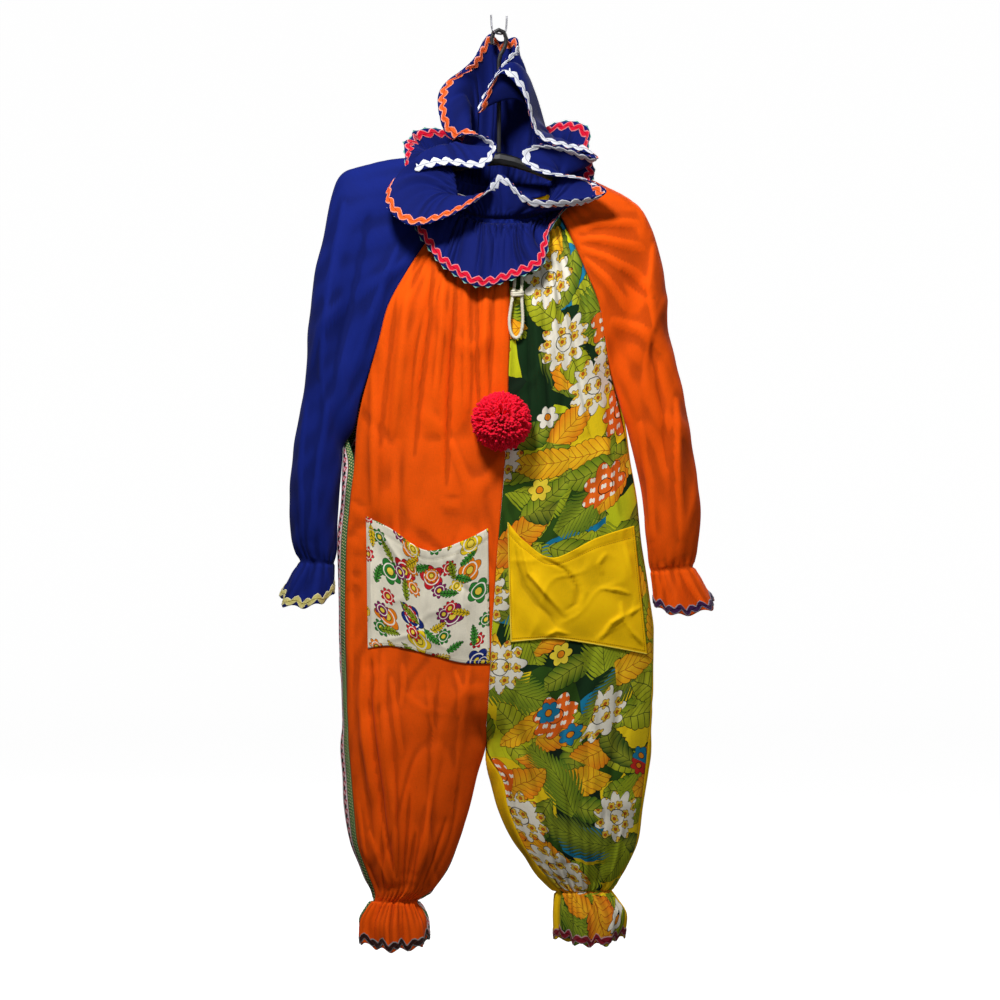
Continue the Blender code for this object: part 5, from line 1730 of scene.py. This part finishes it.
def build_body(blue, orange, yellow, braids, pieces, trims):
    """The panels, sleeves and their braids. Returns the panels' grids of points."""
    grids = {}
    for side, face, material, slot in (
            ("right", "front", orange, "orange_cotton"),
            ("left", "front", foliage("print_foliage"), "print_cotton"),
            ("right", "back", calico("print_calico"), "calico"),
            ("left", "back", yellow, "yellow_cotton")):
        name = f"{face}_{side}"
        item, grids[name] = panel_cloth(side, face, material)
        pieces[name] = dress(item, slot, name)
    for side, material, slot, braid in (("right", blue, "blue_cotton", "cream"),
                                        ("left", orange, "orange_cotton", "purple")):
        name = f"sleeve_{side}"
        item, grid = sleeve_cloth(side, material)
        pieces[name] = dress(item, slot, name)
        trim = edge_ribbon(f"braid_wrist_{side}", grid, braids[braid], False, 1)
        trims[name].append(dress(trim, f"{braid}_braid", f"rickrack_wrist_{side}"))
    for side, braid in (("right", "brown"), ("left", "wine")):
        trim = ankle_ribbon(f"braid_ankle_{side}", grids[f"front_{side}"],
                            grids[f"back_{side}"], braids[braid])
        trims[f"front_{side}"].append(dress(trim, f"{braid}_braid", f"rickrack_ankle_{side}"))
    return grids


def build_neck(blue, braids, pieces, trims):
    """The ruffles with their braids, and the casing."""
    # painted shade: the ruffles take a darker copy of the blue cotton that the casing is made of, standing in for the
    # shade they hang in
    ruffle_blue_painted_shade = plain("cotton_blue_painted_shade", (12, 25, 96))
    upper, grid = ruffle_cloth(
        "cloth_ruffle_upper", UPPER_RUFFLE, columns=560, down=28, foot=CASING_TOP, away=0.0,
        start_up=0.4, start_out=7.0, wave=0.0, count=0, material=ruffle_blue_painted_shade, pucker=2.0, fold=2.2,
        curl=HEM_CURL)
    pieces["ruffle_upper"] = dress(upper, "blue_cotton", "ruffle_upper")
    outer = edge_ribbon("braid_upper_outer", grid, braids["white"], True, 1, shift=0.5)
    inner = edge_ribbon("braid_upper_inner", grid, braids["orange"], True, -1, centre=9.5)
    trims["ruffle_upper"] = [dress(item, "red_braid") for item in (outer, inner)]
    lower, grid = ruffle_cloth(
        "cloth_ruffle_lower", LOWER_RUFFLE, columns=720, down=24, foot=0.6,
        away=CLOTH + RUFFLE_ROOM, start_up=0.0, start_out=8.0, wave=3.0, count=18,
        material=ruffle_blue_painted_shade, pucker=4.4, fold=4.6)
    pieces["ruffle_lower"] = dress(lower, "blue_cotton", "ruffle_lower")
    top = edge_ribbon("braid_lower_top", grid, braids["red"], True, -1, centre=9.0)
    dress(top, "red_braid", "rickrack_lower")
    under = edge_ribbon("braid_lower_under", grid, braids["teal"], True, 1, shift=0.5, centre=6.0)
    trims["ruffle_lower"] = [top, dress(under, "red_braid")]
    pieces["neck_casing"] = dress(casing_cloth(blue), "blue_cotton", "neck_casing")


def build_pockets(yellow, grids, pieces, trims):
    """The patch pockets with their stitches, and the piping of the left one."""
    for side, material, slot, thread in (
            ("right", sprigs("print_sprigs"), "white_cotton", ("cream", (224, 216, 190))),
            ("left", yellow, "yellow_cotton", ("ochre", (186, 140, 10)))):
        name = f"pocket_{side}"
        item, grid = pocket_cloth(side, material, panel_surface(grids[f"front_{side}"]))
        pieces[name] = dress(item, slot, name)
        normals = normals_of(grid, False)
        if normals[0, 0, 1] > 0:
            normals = -normals
        thread = plain(f"thread_{thread[0]}", thread[1], pitch=0.002)
        for part, cells in pocket_seams(grid):
            points, outward = (np.array([values[cell] for cell in cells])
                               for values in (grid, normals))
            seam = stitches(f"thread_{name}_{part}", points, outward, thread)
            trims[name].append(dress(seam, slot))
    line = np.vstack([grid[:, 0], grid[-1, 1:]])
    edge = cord_along("piping_pocket_left", line, 1.3, 8, plain("cotton_piping", (244, 214, 70)))
    trims["pocket_left"].append(dress(edge, "yellow_cotton"))


def build():
    """The whole garment, and the materials of the hanger and the wire."""
    pieces, trims = {}, defaultdict(list)
    blue, orange, yellow = (plain(f"cotton_{name}", colour) for name, colour in (
        ("blue", (15, 31, 112)), ("orange", (240, 86, 2)), ("yellow", (255, 202, 6))))
    braids = {name: (braided(f"braid_{name}", srgb(*colour)), plain(f"thread_braid_{name}", line))
              for name, (colour, line) in BRAIDS.items()}
    grids = build_body(blue, orange, yellow, braids, pieces, trims)
    build_neck(blue, braids, pieces, trims)
    yarn = plain("yarn_red", (255, 22, 56), pitch=0.002, weave=0.6)
    for socket, value in (("Sheen Weight", 1.0), ("Sheen Tint", (1, 0.1, 0.16, 1))):
        yarn.node_tree.nodes["Principled BSDF"].inputs[socket].default_value = value
    dress(pompom_yarn(yarn), "red_yarn", "pompom")
    cord_piece(plain("cord_cream", (228, 222, 200), pitch=0.0012, weave=0.5))
    build_pockets(yellow, grids, pieces, trims)
    black = plastic("plastic_black", (0.006, 0.006, 0.007), 0.42)
    for name, material in (("hanger_body", black), ("hanger_hook", black),
                           ("hanging_wire", wire_metal("wire_grey"))):
        frame["nodes"][name].material_slots[0].material = material
    for name, (width, length, area) in CUTS.items():
        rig.sheet(pieces[name], flat=(width, length), area=area, with_pieces=trims[name],
                 held="gathered" if "ruffle" in name or "casing" in name else "hung")


def backdrop(floor_z=-1.66, corner=2.0, rounds=64):
    """A pale floor and surround, turned round the upright axis: only the camera sees it."""
    profile = [(0.0, floor_z), (3.0, floor_z), (6.0, floor_z)]
    profile += [(7.5 + corner * sin(a), floor_z + corner - corner * cos(a))
                for a in np.linspace(0, pi / 2, 16)]
    profile += [(9.5, 6.5), (0.0, 9.5)]
    verts = [(radius * cos(2 * pi * k / rounds), radius * sin(2 * pi * k / rounds), z)
             for radius, z in profile for k in range(rounds)]
    faces = [(i * rounds + k, i * rounds + (k + 1) % rounds,
              (i + 1) * rounds + (k + 1) % rounds, (i + 1) * rounds + k)
             for i in range(len(profile) - 1) for k in range(rounds)]
    mesh = bpy.data.meshes.new("backdrop")
    mesh.from_pydata(verts, [], faces)
    mesh.shade_smooth()
    item = linked("backdrop", mesh)
    material = bpy.data.materials.new("backdrop_paper")
    material.use_nodes = True
    shader = material.node_tree.nodes["Principled BSDF"]
    for socket, value in (("Base Color", (0.6, 0.6, 0.6, 1)), ("Emission Color", (1, 1, 1, 1)),
                          ("Emission Strength", 0.9), ("Roughness", 0.95),
                          ("Specular IOR Level", 0.0)):
        shader.inputs[socket].default_value = value
    mesh.materials.append(material)
    item.visible_diffuse = item.visible_glossy = item.visible_shadow = False
    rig.stage(item)


def studio(distance=6.0, frame_width=1.65, chest=0.03):
    """The camera, the backdrop and soft light. chest is how far the cloth that fills the frame
    stands in front of the origin."""
    lens = bpy.data.cameras.new("camera")
    camera = linked("camera", lens)
    camera.location = (0.0017, -distance, -0.8036)
    camera.rotation_euler = (pi / 2, 0, 0)
    lens.sensor_width = 36.0
    lens.lens = lens.sensor_width * (distance - chest) / frame_width
    bpy.context.scene.camera = camera
    backdrop()
    world = bpy.data.worlds.new("studio")
    bpy.context.scene.world = world
    world.use_nodes = True
    for socket, value in (("Color", (1, 1, 1, 1)), ("Strength", 0.13)):
        world.node_tree.nodes["Background"].inputs[socket].default_value = value
    for name, place, aim, size, power in (
            ("key", (-0.4, -1.3, 0.78), (0, 0, -0.6), 0.4, 41.0),
            ("fill", (1.8, -2.4, 0.6), (0, 0, -0.6), 1.0, 9.0),
            ("rear", (1.2, 1.9, 0.9), (0, 0, -0.7), 1.0, 34.0)):
        data = bpy.data.lights.new(name, "AREA")
        data.shape = "DISK"
        data.size = size
        data.energy = power
        lamp = linked(name, data)
        lamp.location = place
        lamp.rotation_euler = (Vector(aim) - Vector(place)).to_track_quat("-Z", "Y").to_euler()
    bpy.context.scene.view_settings.view_transform = "Standard"


build()
studio()
bpy.context.view_layer.update()
with open("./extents.json", "w") as target:
    json.dump({"cad": [list(corner) for corner in CAD_BOX],
               "visual": [list(corner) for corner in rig.bounds()]}, target)
